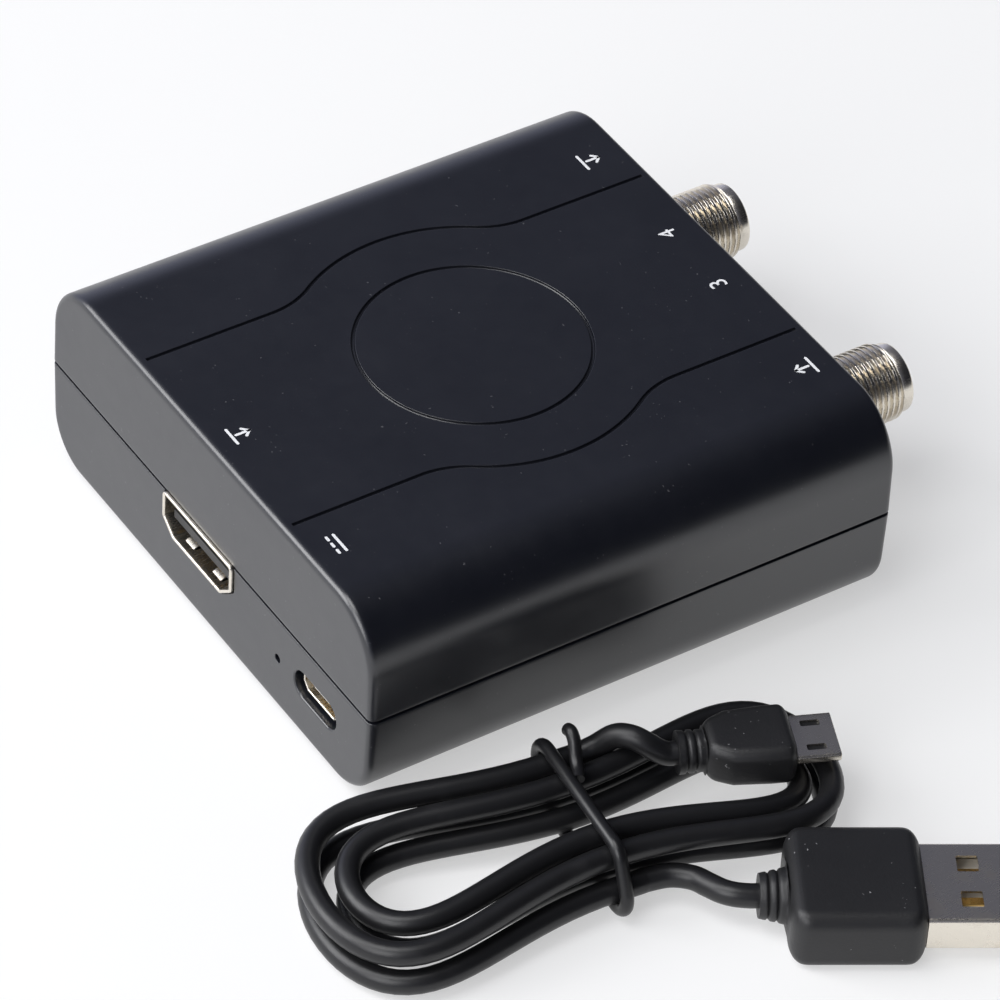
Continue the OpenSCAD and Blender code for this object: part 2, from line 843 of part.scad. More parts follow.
// Contact plate under the slider
module channel_switch_base() color("#4b3a2a") from_front() {
    half = switch_w / 2 - switch_sheet - fit_gap;
    block([switch_x - half, switch_front_y + switch_sheet + fit_gap, deck_z],
          [switch_x + half, board_back_y - switch_sheet - fit_gap, deck_z + switch_base_t]);
}

// Slider with its carriage in the frame and its grooved finger piece outside, at the channel 3 end
slider_gap = 0.05;
finger_grooves = 3;
finger_groove_w = 0.25;
carriage_w = finger_w + switch_travel / 2;
module channel_slider() color("#1a1b1f") from_front() translate([switch_travel / 2, 0, 0]) {
    low = deck_z + switch_base_t + slider_gap;
    high = deck_z + switch_h - switch_sheet - slider_gap;
    block([switch_x - carriage_w / 2, switch_front_y + switch_sheet + slider_gap, low],
          [switch_x + carriage_w / 2, board_back_y - switch_sheet - slider_gap, high]);
    difference() {
        block([switch_x - finger_w / 2, board_back_y - switch_d / 2, finger_z - finger_w / 2],
              [switch_x + finger_w / 2, body_d + finger_proud, finger_z + finger_w / 2]);
        for (i = [0 : finger_grooves - 1]) {
            x = switch_x + (i - (finger_grooves - 1) / 2) * finger_w / finger_grooves;
            translate([x, body_d + finger_proud, finger_z]) {
                cube([finger_groove_w, 2 * finger_groove_w, finger_w + over], center = true);
            }
        }
    }
}

// Soldered shield with folded corners and vent holes
shield_w = shield_w_share * body_w;
shield_d = shield_d_share * body_d;
shield_sheet = 0.3;
vent_d = 2;
vent_columns = 6;
vent_rows = 3;
module shield_can() color("#b4b7bc") from_front() {
    corner = 3 * shield_sheet;
    on_board(shield_place) difference() {
        linear_extrude(shield_h) rounded_plate(shield_w, shield_d, corner);
        translate([0, 0, -over]) {
            linear_extrude(shield_h + over - shield_sheet) {
                rounded_plate(
                    shield_w - 2 * shield_sheet, shield_d - 2 * shield_sheet, corner - shield_sheet
                );
            }
        }
        for (i = [0 : vent_columns - 1], j = [0 : vent_rows - 1]) {
            translate([
                (i - (vent_columns - 1) / 2) * shield_w / (vent_columns + 1),
                (j - (vent_rows - 1) / 2) * shield_d / (vent_rows + 1),
                shield_h / 2,
            ]) {
                cylinder(d = vent_d, h = shield_h, $fn = 24);
            }
        }
    }
}

// Chip with a bevelled body and rows of bent leads on all four sides
lead_run = 1;
lead_w = 0.3;
lead_t = 0.16;
chip_lift = 0.1;
module leaded_chip(w, leads, pitch) {
    mid = chip_lift + chip_t / 2;
    linear_extrude(chip_t, center = false) rounded_plate(w, w, chip_t / 4);
    for (turn = [0, 90, 180, 270], i = [0 : leads - 1]) {
        rotate(turn) translate([0, (i - (leads - 1) / 2) * pitch + lead_w / 2, 0]) {
            rotate([90, 0, 0]) linear_extrude(lead_w) {
                polygon([
                    [w / 2 + lead_run, 0], [w / 2 + lead_run, lead_t], [w / 2 + lead_run / 2, lead_t],
                    [w / 2 + lead_run / 3, mid + lead_t / 2], [w / 2 - lead_t, mid + lead_t / 2],
                    [w / 2 - lead_t, mid - lead_t / 2], [w / 2 + lead_run / 6, mid - lead_t / 2],
                    [w / 2 + lead_run / 3, 0],
                ]);
            }
        }
    }
}

// Puts a part on the board at a place across and along the housing
module on_board(at) {
    translate([at[0], at[1], deck_z]) children();
}

video_chip_leads = 12;
video_chip_pitch = 0.95;
module video_chip() color("#2a2b2e") from_front() on_board(video_chip_place) {
    leaded_chip(video_chip_w, video_chip_leads, video_chip_pitch);
}
modulator_chip_leads = 8;
small_chip_pitch = 0.65;
module modulator_chip() color("#2a2b2e") from_front() on_board(shield_place) {
    leaded_chip(modulator_chip_w, modulator_chip_leads, small_chip_pitch);
}
control_chip_leads = 6;
module control_chip() color("#2a2b2e") from_front() on_board(control_chip_place) {
    leaded_chip(control_chip_w, control_chip_leads, small_chip_pitch);
}

// Rows of small resistors and capacitors, each a body between two end caps
chip_part_w = 1.6;
chip_part_d = 0.8;
chip_part_h = 0.5;
chip_part_end = 0.3;
part_row_step = 2.4;
chip_row_count = 5;
function part_row_len(count) = (count - 1) * part_row_step + chip_part_w;
// Distance of a row beside the video chip from the chip's middle
chip_row_off = video_chip_w / 2 + lead_run + part_gap + chip_part_d / 2;
// Middle and number of parts of each row
part_rows = [
    [[video_x, video_chip_place[1] - chip_row_off], chip_row_count],
    [video_chip_place + [0, chip_row_off], chip_row_count],
    [place([-0.34, 0.47]), 3],
    [place([0.1, 0.39]), 3],
    [place([-0.03, 0.86]), 2],
];
module surface_parts() color("#9c8a6a") from_front() {
    for (row = part_rows, i = [0 : row[1] - 1]) {
        on_board(row[0]) translate([(i - (row[1] - 1) / 2) * part_row_step, 0, 0]) {
            translate([0, 0, chip_part_h / 2]) {
                cube([chip_part_w - 2 * chip_part_end, chip_part_d, chip_part_h], center = true);
                for (side = [-1, 1]) {
                    translate([side * (chip_part_w - chip_part_end) / 2, 0, chip_part_end / 6]) {
                        cube([chip_part_end, chip_part_d, chip_part_h + chip_part_end / 3], center = true);
                    }
                }
            }
        }
    }
}

// Two low crystal cans with a flange: one across the front of the shield beside the row behind
// the video chip, one along the right side of the control chip
crystal_w = 10;
crystal_d = 4;
crystal_h = 3.5;
crystal_flange = 0.4;
shield_crystal_place = [
    video_chip_place[0] + part_row_len(chip_row_count) / 2 + part_gap + crystal_w / 2 + crystal_flange,
    shield_place[1] - shield_d / 2 - part_gap - crystal_d / 2 - crystal_flange,
];
chip_crystal_place = [
    control_chip_place[0] + control_chip_w / 2 + lead_run + part_gap + crystal_d / 2 + crystal_flange,
    capacitor_share * body_d,
];
module crystal() {
    linear_extrude(crystal_flange) {
        slot_outline(crystal_w + 2 * crystal_flange, crystal_d + 2 * crystal_flange);
    }
    linear_extrude(crystal_h) slot_outline(crystal_w, crystal_d);
}
module crystals() color("#c2c4c8") from_front() {
    on_board(shield_crystal_place) crystal();
    on_board(chip_crystal_place) rotate(90) crystal();
}

// Two surface-mount electrolytic capacitors on square bases along the board's right edge, with a
// rolled groove
base_t = 0.8;
roll_r = 0.35;
roll_share = 0.28;
capacitor_base_w = capacitor_d + roll_r;
module electrolytic_capacitors() color("#b9bec6") from_front() {
    for (i = [0, 1]) on_board([
        board_half_w - part_gap - capacitor_base_w / 2,
        capacitor_share * body_d + i * (capacitor_base_w + 3 * part_gap),
    ]) {
        linear_extrude(base_t) rounded_plate(capacitor_base_w, capacitor_base_w, roll_r);
        rotate_extrude() difference() {
            square([capacitor_d / 2, capacitor_h]);
            translate([capacitor_d / 2, capacitor_h * roll_share]) circle(roll_r);
        }
    }
}

// Shielded coil of the supply, a square ferrite with a round lid
inductor_w = 5;
inductor_h = 2.8;
module power_inductor() color("#3a3a3c") from_front() on_board(inductor_place) {
    linear_extrude(inductor_h - base_t / 2) rounded_plate(inductor_w, inductor_w, base_t);
    cylinder(d = inductor_w - base_t, h = inductor_h);
}

// Voltage regulator with its wide tab and three leads
regulator_w = 6.5;
regulator_d = 3.5;
regulator_h = 1.6;
regulator_pitch = 2.3;
regulator_place = [
    video_chip_place[0] - video_chip_w / 2 - lead_run - 2 * part_gap - regulator_w / 2,
    regulator_share * body_d,
];
module regulator() color("#2a2b2e") from_front() on_board(regulator_place) {
    block([-regulator_w / 2, -regulator_d / 2, 0], [regulator_w / 2, regulator_d / 2, regulator_h]);
    block([-regulator_pitch / 2 - lead_w, 0, 0], [regulator_pitch / 2 + lead_w, regulator_d, lead_t]);
    for (i = [-1, 0, 1]) {
        x = i * regulator_pitch;
        block([x - lead_w, -regulator_d, 0], [x + lead_w, 0, lead_t]);
    }
}

// The lead is wound as a hank of three and a half turns in two layers. A turn goes once round
// the hank, from the waist through one lobe and back. The loops draw in at a steady rate for one
// and a half turns, climb in the next half turn, and go out again at the same rate above.
hank_turns = 3.5;
climb_start = 1.5;
climb_end = 2;
loop_rings = 24;
loop_sides = 6;
tail_sides = 8;
hank_step = 1 / loop_rings;
tie_gap = 0.1;
waist_lift = tie_d + tie_gap;
cable_r = cable_d / 2;

// Loops inwards from the outermost one, after a number of turns
function loop_index(t) = t < climb_start ? t : t < climb_end ? climb_start : hank_turns - t;
function ease(u) = u < 0 ? 0 : u > 1 ? 1 : u * u * (3 - 2 * u);
// Point of the cable's middle after t turns: narrow at the waist, swollen in both lobes, and
// lifted over the tie at the waist
function hank_point(t) =
    let (angle = 90 + 360 * t, k = loop_index(t), s = sin(angle), c = cos(angle))
    [
        (waist_half - waist_step * k) * s + (swell - swell_step * k) * s * c * c,
        (reach - reach_step * k) * c,
        cable_r + waist_lift * s * s + layer_rise * ease((t - climb_start) / (climb_end - climb_start)),
    ];

hank_core = [for (i = [0 : hank_turns * loop_rings]) hank_point(i * hank_step)];
first = hank_core[0];
last = hank_core[len(hank_core) - 1];
// Both ends run straight for one diameter
hank_path = concat([first + [0, cable_d, 0]], hank_core, [last + [0, cable_d, 0]]);

// Least distance of the cable to itself, measured between points at least this far apart
apart_rings = 6;
fine_step = hank_step / 2;
fine = [for (i = [0 : hank_turns * 2 * loop_rings]) hank_point(i * fine_step)];
least = min([
    for (i = [0 : len(fine) - 1], j = [i + 2 * apart_rings : len(fine) - 1])
        if (abs(fine[i][0] - fine[j][0]) < 2 * cable_d && abs(fine[i][1] - fine[j][1]) < 2 * cable_d)
            norm(fine[i] - fine[j])
]) - cable_d;
function path_sum(p, i, total) = i >= len(p) ? total : path_sum(p, i + 1, total + norm(p[i] - p[i - 1]));

// Frame of each ring, carried along a path so that it doesn't twist
function unit(v) = v / norm(v);
function heading(p, i) =
    i == 0 ? unit(p[1] - p[0]) : i == len(p) - 1 ? unit(p[i] - p[i - 1]) : unit(p[i + 1] - p[i - 1]);
function upright(dir) = unit([0, 0, 1] - dir * dir[2]);
function ring(p, i, r, sides) =
    let (dir = heading(p, i), up = upright(dir), across = cross(dir, up))
    [for (k = [0 : sides - 1])
        let (a = 90 + 360 * (k + 0.5) / sides) p[i] + r * (cos(a) * across + sin(a) * up)];

// Tube of triangles swept along the points of a path
module tube(path, r, sides) {
    n = len(path);
    points = [for (i = [0 : n - 1]) each ring(path, i, r, sides)];
    walls = [for (i = [0 : n - 2], k = [0 : sides - 1])
        let (a = i * sides + k, b = i * sides + (k + 1) % sides)
        each [[a, b, b + sides], [a, b + sides, a + sides]]];
    start = [for (k = [1 : sides - 2]) [0, k + 1, k]];
    base = (n - 1) * sides;
    end = [for (k = [1 : sides - 2]) [base, base + k, base + k + 1]];
    polyhedron(points, concat(walls, start, end), convexity = 10);
}

// Places a piece of the lead from the waist of the hank
module from_waist() {
    from_front() translate([lead_x, lead_y, 0]) rotate(-lead_turn) children();
}

module lead_hank() color("#141518") from_waist() {
    echo(least_gap_of_hank = least, length_of_hank = path_sum(hank_path, 1, 0));
    tube(hank_path, cable_r, loop_sides);
}

// Tie round the waist: a wire that runs straight between the four outermost strands
tie_steps = 5;
tie_low = hank_point(0);
tie_side = hank_point(3);
tie_r = cable_r + tie_gap + tie_d / 2;
tie_lean = atan2(tie_low[0] - tie_side[0], tie_side[2] - tie_low[2]);
function tie_arc(centre, a0, a1) = [
    for (i = [0 : tie_steps]) let (a = a0 + (a1 - a0) * i / tie_steps)
        [centre[0] + tie_r * cos(a), 0, centre[2] + tie_r * sin(a)]
];
tie_mid_z = (tie_low[2] + tie_side[2]) / 2;
function opposite(p) = [-p[0], 0, 2 * tie_mid_z - p[2]];
tie_path = concat(
    tie_arc(tie_low, -90, tie_lean), tie_arc(tie_side, tie_lean, 90),
    tie_arc(opposite(tie_low), 90, 180 + tie_lean), tie_arc(opposite(tie_side), 180 + tie_lean, 270)
);
module hank_tie() color("#0f1012") from_waist() {
    n = len(tie_path);
    points = [for (i = [0 : n - 1], k = [0 : tail_sides - 1])
        let (
            before = tie_path[(i + n - 1) % n], after = tie_path[(i + 1) % n],
            dir = unit(after - before), out = [dir[2], 0, -dir[0]], a = 360 * (k + 0.5) / tail_sides
        )
        tie_path[i] + tie_d / 2 * (cos(a) * out + sin(a) * [0, 1, 0])];
    faces = [for (i = [0 : n - 1], k = [0 : tail_sides - 1])
        let (
            j = (i + 1) % n, a = i * tail_sides + k, b = i * tail_sides + (k + 1) % tail_sides,
            c = j * tail_sides + (k + 1) % tail_sides, d = j * tail_sides + k
        )
        each [[a, c, b], [a, d, c]]];
    polyhedron(points, faces, convexity = 6);
}

// Routes of the two tails from the waist of the hank, chosen by hand, in millimetres
usb_route = [
    [8.6, 2.8, 3.1], [8.6, 3.8, 3.1], [9.1, 6.2, 3.2], [10.6, 8.2, 3.4], [12.5, 9.2, 3.6],
    [14.1, 10, 3.8], [15.2, 11, 3.9], [16, 12.3, 3.9], [16.4, 13.2, 3.9],
];
power_route = [
    [-8.6, 2.8, 6.6], [-8.6, 3.8, 6.6], [-8.3, 5.8, 7.4], [-7.4, 7.6, 9.1], [-6, 8.8, 9.8],
    [-4.8, 9.9, 9.5], [-3.9, 11.2, 8.6], [-3.5, 12.2, 8.1], [-3.2, 13.2, 8.1],
];
// Turn of a route's end away from the hank's axis
function end_turn(route) =
    let (last_step = route[len(route) - 1] - route[len(route) - 2]) atan2(last_step[0], last_step[1]);
usb_turn = end_turn(usb_route);
micro_turn = end_turn(power_route);
module lead_usb_tail() color("#141518") from_waist() tube(usb_route, cable_r, tail_sides);
module lead_power_tail() color("#141518") from_waist() tube(power_route, cable_r, tail_sides);

// Places a plug at the end of its tail, pointing along Y
module at_usb_plug() {
    end = usb_route[len(usb_route) - 1];
    from_waist() translate(end) rotate(-usb_turn) children();
}
module at_micro_plug() {
    end = power_route[len(power_route) - 1];
    from_waist() translate(end) rotate(-micro_turn) children();
}

// Grip of a plug along Y: a collar with grooves and a body that is rounded in plan and in side view
collar_wall = 1.1;
collar_grooves = 2;
module collar(len, root_d) {
    difference() {
        translate([0, len, 0]) rotate([90, 0, 0]) {
            cylinder(d1 = root_d, d2 = cable_d + 2 * collar_wall, h = len);
        }
        for (i = [1 : collar_grooves]) {
            y = len * i / (collar_grooves + 1);
            translate([0, y, 0]) difference() {
                rod_y(2 * root_d, -len / 12, len / 12);
                rod_y(cable_d + collar_wall, -len, len);
            }
        }
    }
}
module grip(w, t, length, r, side_r) {
    translate([0, length / 2, 0]) intersection() {
        linear_extrude(t + over, center = true) rounded_plate(w, length, r);
        rotate([90, 0, 90]) linear_extrude(w + over, center = true) rounded_plate(length, t, side_r);
        rotate([90, 0, 0]) linear_extrude(length + over, center = true) rounded_plate(w, t, side_r);
    }
}

grip_corner_r = 2.2;
grip_side_r = 1.6;
usb_collar_d = 6.4;
module lead_usb_overmould() color("#17181b") at_usb_plug() {
    collar(collar_len, usb_collar_d);
    translate([0, collar_len, 0]) grip(grip_w, grip_t, grip_len, grip_corner_r, grip_side_r);
}

// Folded shell of the large plug, with two locking windows above and two below
plug_sheet = 0.3;
plug_corner_r = 0.5;
window_side = 2.4;
window_back = 5;
window_apart = 5.4;
module lead_usb_shell() color("#c8c5bd") at_usb_plug() {
    start = collar_len + grip_len;
    difference() {
        through(start, start + plug_len) rounded_plate(plug_w, plug_t, plug_corner_r);
        through(start - over, start + plug_len + over) {
            rounded_plate(plug_w - 2 * plug_sheet, plug_t - 2 * plug_sheet, plug_corner_r - plug_sheet);
        }
        for (side = [-1, 1]) {
            translate([side * window_apart / 2, start + window_back, 0]) {
                cube([window_side, window_side, plug_t + over], center = true);
            }
        }
    }
}

// Contact block in the lower half of the large plug
block_t = 1.9;
plug_contact_t = 0.25;
plug_mouth = 0.3;
module lead_usb_insulator() color("#e4e2da") at_usb_plug() {
    start = collar_len + grip_len;
    low = -plug_t / 2 + plug_sheet + fit_gap / 2;
    half = plug_w / 2 - plug_sheet - fit_gap;
    block([-half, start, low], [half, start + plug_len - plug_mouth, low + block_t]);
}

// Four contacts on that block, the outer two longer
plug_contacts = 4;
plug_contact_w = 1.1;
plug_contact_pitch = 2.2;
plug_contact_set = 1;
module lead_usb_contacts() color("#d7b25c") at_usb_plug() {
    start = collar_len + grip_len;
    low = -plug_t / 2 + plug_sheet + fit_gap / 2 + block_t;
    for (i = [0 : plug_contacts - 1]) {
        outer = i == 0 || i == plug_contacts - 1;
        x = (i - (plug_contacts - 1) / 2) * plug_contact_pitch;
        end = start + plug_len - plug_mouth - (outer ? 1 : 2) * plug_contact_set;
        block([x - plug_contact_w / 2, start, low], [x + plug_contact_w / 2, end, low + plug_contact_t]);
    }
}

// Grip of the small plug, with a tapered root
small_root_len = 3.6;
small_corner_r = 1.2;
small_collar_d = 4.8;
module lead_micro_overmould() color("#17181b") at_micro_plug() {
    collar(collar_len, small_collar_d);
    translate([0, collar_len, 0]) intersection() {
        grip(small_grip_w, small_grip_t, small_grip_len, small_corner_r, small_corner_r);
        linear_extrude(small_grip_t + over, center = true) {
            polygon([
                [-small_collar_d / 2, -over], [small_collar_d / 2, -over], [small_collar_d / 2, 0],
                [small_grip_w / 2, small_root_len], [small_grip_w / 2, small_grip_len + over],
                [-small_grip_w / 2, small_grip_len + over], [-small_grip_w / 2, small_root_len],
                [-small_collar_d / 2, 0],
            ]);
        }
    }
}

// Outline of the small plug's shell, grown by an offset, narrow side down
small_foot_share = 0.76;
module small_plug_outline(offset) {
    half = small_plug_w / 2;
    foot = half * small_foot_share;
    polygon([
        [-foot, -small_plug_t / 2 - offset], [foot, -small_plug_t / 2 - offset], [half + offset, 0],
        [half + offset, small_plug_t / 2 + offset], [-half - offset, small_plug_t / 2 + offset],
        [-half - offset, 0],
    ]);
}
small_sheet = 0.25;
module lead_micro_shell() color("#c8c5bd") at_micro_plug() {
    start = collar_len + small_grip_len;
    difference() {
        through(start, start + small_plug_len) small_plug_outline(0);
        through(start - over, start + small_plug_len + over) small_plug_outline(-small_sheet);
    }
}

// Contact carrier in the upper half of the small plug
carrier_t = 0.55;
module lead_micro_insulator() color("#1d1e20") at_micro_plug() {
    start = collar_len + small_grip_len;
    high = small_plug_t / 2 - small_sheet - fit_gap / 2;
    half = small_plug_w / 2 - 2 * small_sheet;
    block([-half, start, high - carrier_t], [half, start + small_plug_len - plug_mouth, high]);
}

// Five contacts under that carrier
small_contact_t = 0.12;
module lead_micro_contacts() color("#d7b25c") at_micro_plug() {
    start = collar_len + small_grip_len;
    high = small_plug_t / 2 - small_sheet - fit_gap / 2 - carrier_t;
    for (i = [0 : power_contacts - 1]) {
        x = (i - (power_contacts - 1) / 2) * power_pitch;
        block([x - power_contact_w / 2, start, high - small_contact_t],
              [x + power_contact_w / 2, start + small_plug_len - 2 * plug_mouth, high]);
    }
}

top_cover();
bottom_cover();
rubber_feet();
case_screws();
circuit_board();
video_socket_shell();
video_socket_insulator();
video_socket_contacts();
power_socket_shell();
power_socket_insulator();
power_socket_contacts();
status_led();
rf_out_barrel();
rf_out_insulator();
rf_out_contact();
rf_in_barrel();
rf_in_insulator();
rf_in_contact();
channel_switch_frame();
channel_switch_base();
channel_slider();
shield_can();
video_chip();
modulator_chip();
control_chip();
crystals();
electrolytic_capacitors();
power_inductor();
regulator();
surface_parts();
lead_hank();
hank_tie();
lead_usb_tail();
lead_usb_overmould();
lead_usb_shell();
lead_usb_insulator();
lead_usb_contacts();
lead_power_tail();
lead_micro_overmould();
lead_micro_shell();
lead_micro_insulator();
lead_micro_contacts();
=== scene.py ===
"""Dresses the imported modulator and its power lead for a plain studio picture.

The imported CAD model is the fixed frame. Smooth covers, threaded aerial sockets, folded socket
shells, the wound lead and its plugs take the places of the solids that stand for them, every
part gets a finish of its own, and a camera and soft light are set up. Lengths are in millimetres
and angles in degrees until a mesh is made, which is in metres. The front faces -Y and +Z is up.
"""

from __future__ import annotations

import json
import logging
import math
from dataclasses import dataclass
from enum import Enum
from functools import partial
from typing import Callable, Iterable, Sequence, Union

import bmesh
import bpy
import numpy as np
from mathutils import Matrix, Vector

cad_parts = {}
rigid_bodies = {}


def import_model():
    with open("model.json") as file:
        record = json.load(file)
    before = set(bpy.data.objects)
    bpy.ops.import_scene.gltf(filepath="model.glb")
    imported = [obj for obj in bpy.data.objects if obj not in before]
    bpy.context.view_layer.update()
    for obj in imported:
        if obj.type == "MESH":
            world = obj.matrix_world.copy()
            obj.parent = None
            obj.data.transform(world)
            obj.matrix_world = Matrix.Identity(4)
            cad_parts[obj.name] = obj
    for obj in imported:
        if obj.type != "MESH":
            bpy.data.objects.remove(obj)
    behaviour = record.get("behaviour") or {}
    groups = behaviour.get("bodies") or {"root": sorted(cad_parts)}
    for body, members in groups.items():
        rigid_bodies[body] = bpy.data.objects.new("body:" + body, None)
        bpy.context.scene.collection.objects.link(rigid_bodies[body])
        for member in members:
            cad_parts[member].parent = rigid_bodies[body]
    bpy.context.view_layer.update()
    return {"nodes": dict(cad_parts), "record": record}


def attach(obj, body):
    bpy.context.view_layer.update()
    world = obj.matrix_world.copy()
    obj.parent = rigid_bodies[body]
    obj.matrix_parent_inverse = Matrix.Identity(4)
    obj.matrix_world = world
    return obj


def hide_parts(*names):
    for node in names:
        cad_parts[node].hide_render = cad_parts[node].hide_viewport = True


LOG = logging.getLogger("modulator")
BODY = "modulator"
SLIDER_BODY = "channel_slider"

# One millimetre in metres
MM = 0.001
# Points closer than this are one point of a mesh
WELD = 0.002
# How far a cutter, or a solid that joins another, reaches past the face it meets
PAST = 1.0
# Radius of a turned solid's end faces beside its axis
AXIS_R = 0.02
# Faces along the quarter circle of an opening's or a block's softened edge
SOFT_STEPS = 3
# Faces along the half circle of a folded sheet's rim
RIM_STEPS = 8

# Depth of the housing's front face in the part's frame, the housing's depth and its top
FRONT_Y = -41.8
DEPTH = 70.0
TOP_Z = 27.8
# Places of the sockets and of the switch across the housing, and their heights
VIDEO_AT = (-1.6, 8.3)
POWER_AT = (23.8, 7.0)
SWITCH_AT = (-1.0, 9.35)
AERIAL_XS = (-17.9, 15.9)
AERIAL_Z = 14.0
# Place of the hank's waist beside the housing, and its turn
HANK_AT = (52.4, 17.0, 0.0)
HANK_TURN = -6.0

Array = np.ndarray
Triple = tuple[float, float, float]
Pair = tuple[float, float]
Colour = Triple
Number = Union[float, Array]
Points = Sequence[Sequence[float]]
Outline = Callable[[float], Array]


# Shapes


@dataclass(frozen=True)
class Place:
    """Where a sub-assembly stands: turned about the upright, then moved."""

    turn: float = 0.0
    origin: Triple = (0.0, 0.0, 0.0)

    def apply(self, points: Array) -> Array:
        """Moves points from the sub-assembly to the part's frame.

        Args:
            points: any number of points, in millimetres.

        Returns:
            The points turned about the upright through the origin and then moved.
        """
        c, s = math.cos(math.radians(self.turn)), math.sin(math.radians(self.turn))
        return np.asarray(points, float) @ np.array([[c, s, 0], [-s, c, 0], [0, 0, 1]]) + self.origin

    def inside(self, turn: float, origin: Sequence[float]) -> "Place":
        """Gives the place of something that stands in this place.

        Args:
            turn: its turn within this place.
            origin: its origin within this place.

        Returns:
            Its place in the part's frame.
        """
        return Place(self.turn + turn, tuple(self.apply(np.array(origin))))


class Surface:
    """Points and faces of one mesh in millimetres, gathered patch by patch."""

    def __init__(self) -> None:
        """Starts with nothing."""
        self.points: list[Array] = []
        self.faces: list[list[int]] = []
        self.count = 0

    def grid(self, points: Array, wrap: tuple[bool, bool] = (False, False)) -> "Surface":
        """Adds a grid of points, joined to their neighbours by four-sided faces.

        Args:
            points: rows by columns by three.
            wrap: whether the last row joins the first, and the last column the first.

        Returns:
            This surface.
        """
        rows, columns = points.shape[:2]
        index = np.arange(rows * columns).reshape(rows, columns) + self.count
        index = np.vstack([index, index[:1]]) if wrap[0] else index
        index = np.hstack([index, index[:, :1]]) if wrap[1] else index
        quads = np.stack([index[:-1, :-1], index[:-1, 1:], index[1:, 1:], index[1:, :-1]], axis=-1)
        self.points.append(points.reshape(-1, 3))
        self.faces += quads.reshape(-1, 4).tolist()
        self.count += rows * columns
        return self

    def lid(self, ring: Array) -> "Surface":
        """Adds one flat face over a closed ring of points."""
        self.points.append(ring)
        self.faces.append(list(range(self.count, self.count + len(ring))))
        self.count += len(ring)
        return self

    def loft(self, rings: Array) -> "Surface":
        """Adds a solid: closed rings joined in order, with a flat face over each end ring.

        Args:
            rings: rings by points by three.

        Returns:
            This surface.
        """
        return self.grid(rings, wrap=(False, True)).lid(rings[0]).lid(rings[-1])

    def join(self, *others: "Surface") -> "Surface":
        """Adds the points and faces of other surfaces.

        Args:
            others: the surfaces to take in.

        Returns:
            This surface.
        """
        for other in others:
            self.faces += [[i + self.count for i in f] for f in other.faces]
            self.points += other.points
            self.count += other.count
        return self

    def mesh(self, name: str, place: Place) -> bpy.types.Mesh:
        """Makes the mesh: seams welded, faces pointing outwards, in metres.

        Args:
            name: the mesh's name.
            place: where it stands in the part's frame.

        Returns:
            The mesh.
        """
        made = bpy.data.meshes.new(name)
        points = place.apply(np.concatenate(self.points)) * MM
        made.from_pydata(points.tolist(), [], self.faces)
        work = bmesh.new()
        work.from_mesh(made)
        bmesh.ops.remove_doubles(work, verts=work.verts, dist=WELD * MM)
        bmesh.ops.recalc_face_normals(work, faces=work.faces)
        work.to_mesh(made)
        work.free()
        return made


def quarter(steps: int) -> Array:
    """Angles of a quarter turn in radians, both ends included."""
    return np.linspace(0, math.pi / 2, steps + 1)


def full_turn(sides: int) -> Array:
    """Angles of a ring's points in radians, evenly spaced."""
    return np.arange(sides) * 2 * math.pi / sides


def unit(angles: Array) -> Array:
    """Points of the unit circle at angles in radians."""
    return np.stack([np.cos(angles), np.sin(angles)], axis=-1)


def along_y(outline: Array, y: Number) -> Array:
    """Stands outlines of the XZ plane at depths along Y.

    Args:
        outline: points by two, or outlines by points by two.
        y: one depth, or one for each outline.

    Returns:
        The outlines with their depth as the middle coordinate.
    """
    depth = np.broadcast_to(np.asarray(y, float)[..., None], outline.shape[:-1])
    return np.stack([outline[..., 0], depth, outline[..., 1]], axis=-1)


def along_z(outline: Array, z: Number) -> Array:
    """Lays outlines of the XY plane at heights along Z.

    Args:
        outline: points by two, or outlines by points by two.
        z: one height, or one for each outline.

    Returns:
        The outlines with their height as the last coordinate.
    """
    height = np.broadcast_to(np.asarray(z, float)[..., None], outline.shape[:-1])
    return np.concatenate([outline, height[..., None]], axis=-1)


def rounded(corners: Points, radius: Number, steps: int = 8, grow: float = 0.0) -> Array:
    """Outline of a polygon whose corners are arcs.

    An arc's middle lies on the bisector of its corner, and its points sweep from the outward
    normal of the edge before the corner to that of the edge after it.

    Args:
        corners: the corners of a convex polygon, counter-clockwise.
        radius: one radius, or one for each corner.
        steps: faces of each arc.
        grow: how far the whole outline is pushed outwards; its radii grow with it.

    Returns:
        The outline's points.
    """
    p = np.asarray(corners, float)
    u = p - np.roll(p, 1, axis=0)
    v = np.roll(p, -1, axis=0) - p
    u /= np.linalg.norm(u, axis=1, keepdims=True)
    v /= np.linalg.norm(v, axis=1, keepdims=True)
    turn = np.arctan2(u[:, 0] * v[:, 1] - u[:, 1] * v[:, 0], (u * v).sum(1))
    r = np.broadcast_to(np.asarray(radius, float), turn.shape)
    middle = p + (v - u) * (r / np.sin(turn))[:, None]
    r = r + grow
    angle = np.arctan2(-u[:, 0], u[:, 1])[:, None] + turn[:, None] * np.linspace(0, 1, steps + 1)
    arcs = unit(angle) * r[:, None, None]
    return (middle[:, None] + arcs).reshape(-1, 2)


def plate(width: float, height: float, radius: float, steps: int = 8, grow: float = 0.0) -> Array:
    """Outline of a centred rectangle with round corners, pushed outwards by an offset."""
    x, y = width / 2, height / 2
    return rounded([[-x, -y], [x, -y], [x, y], [-x, y]], radius, steps, grow)


def round_hole(diameter: float, grow: float) -> Array:
    """Outline of a round hole, pushed outwards by an offset."""
    radius = diameter / 2
    return plate(diameter, diameter, radius - 0.01, 16) * (1 + grow / radius)


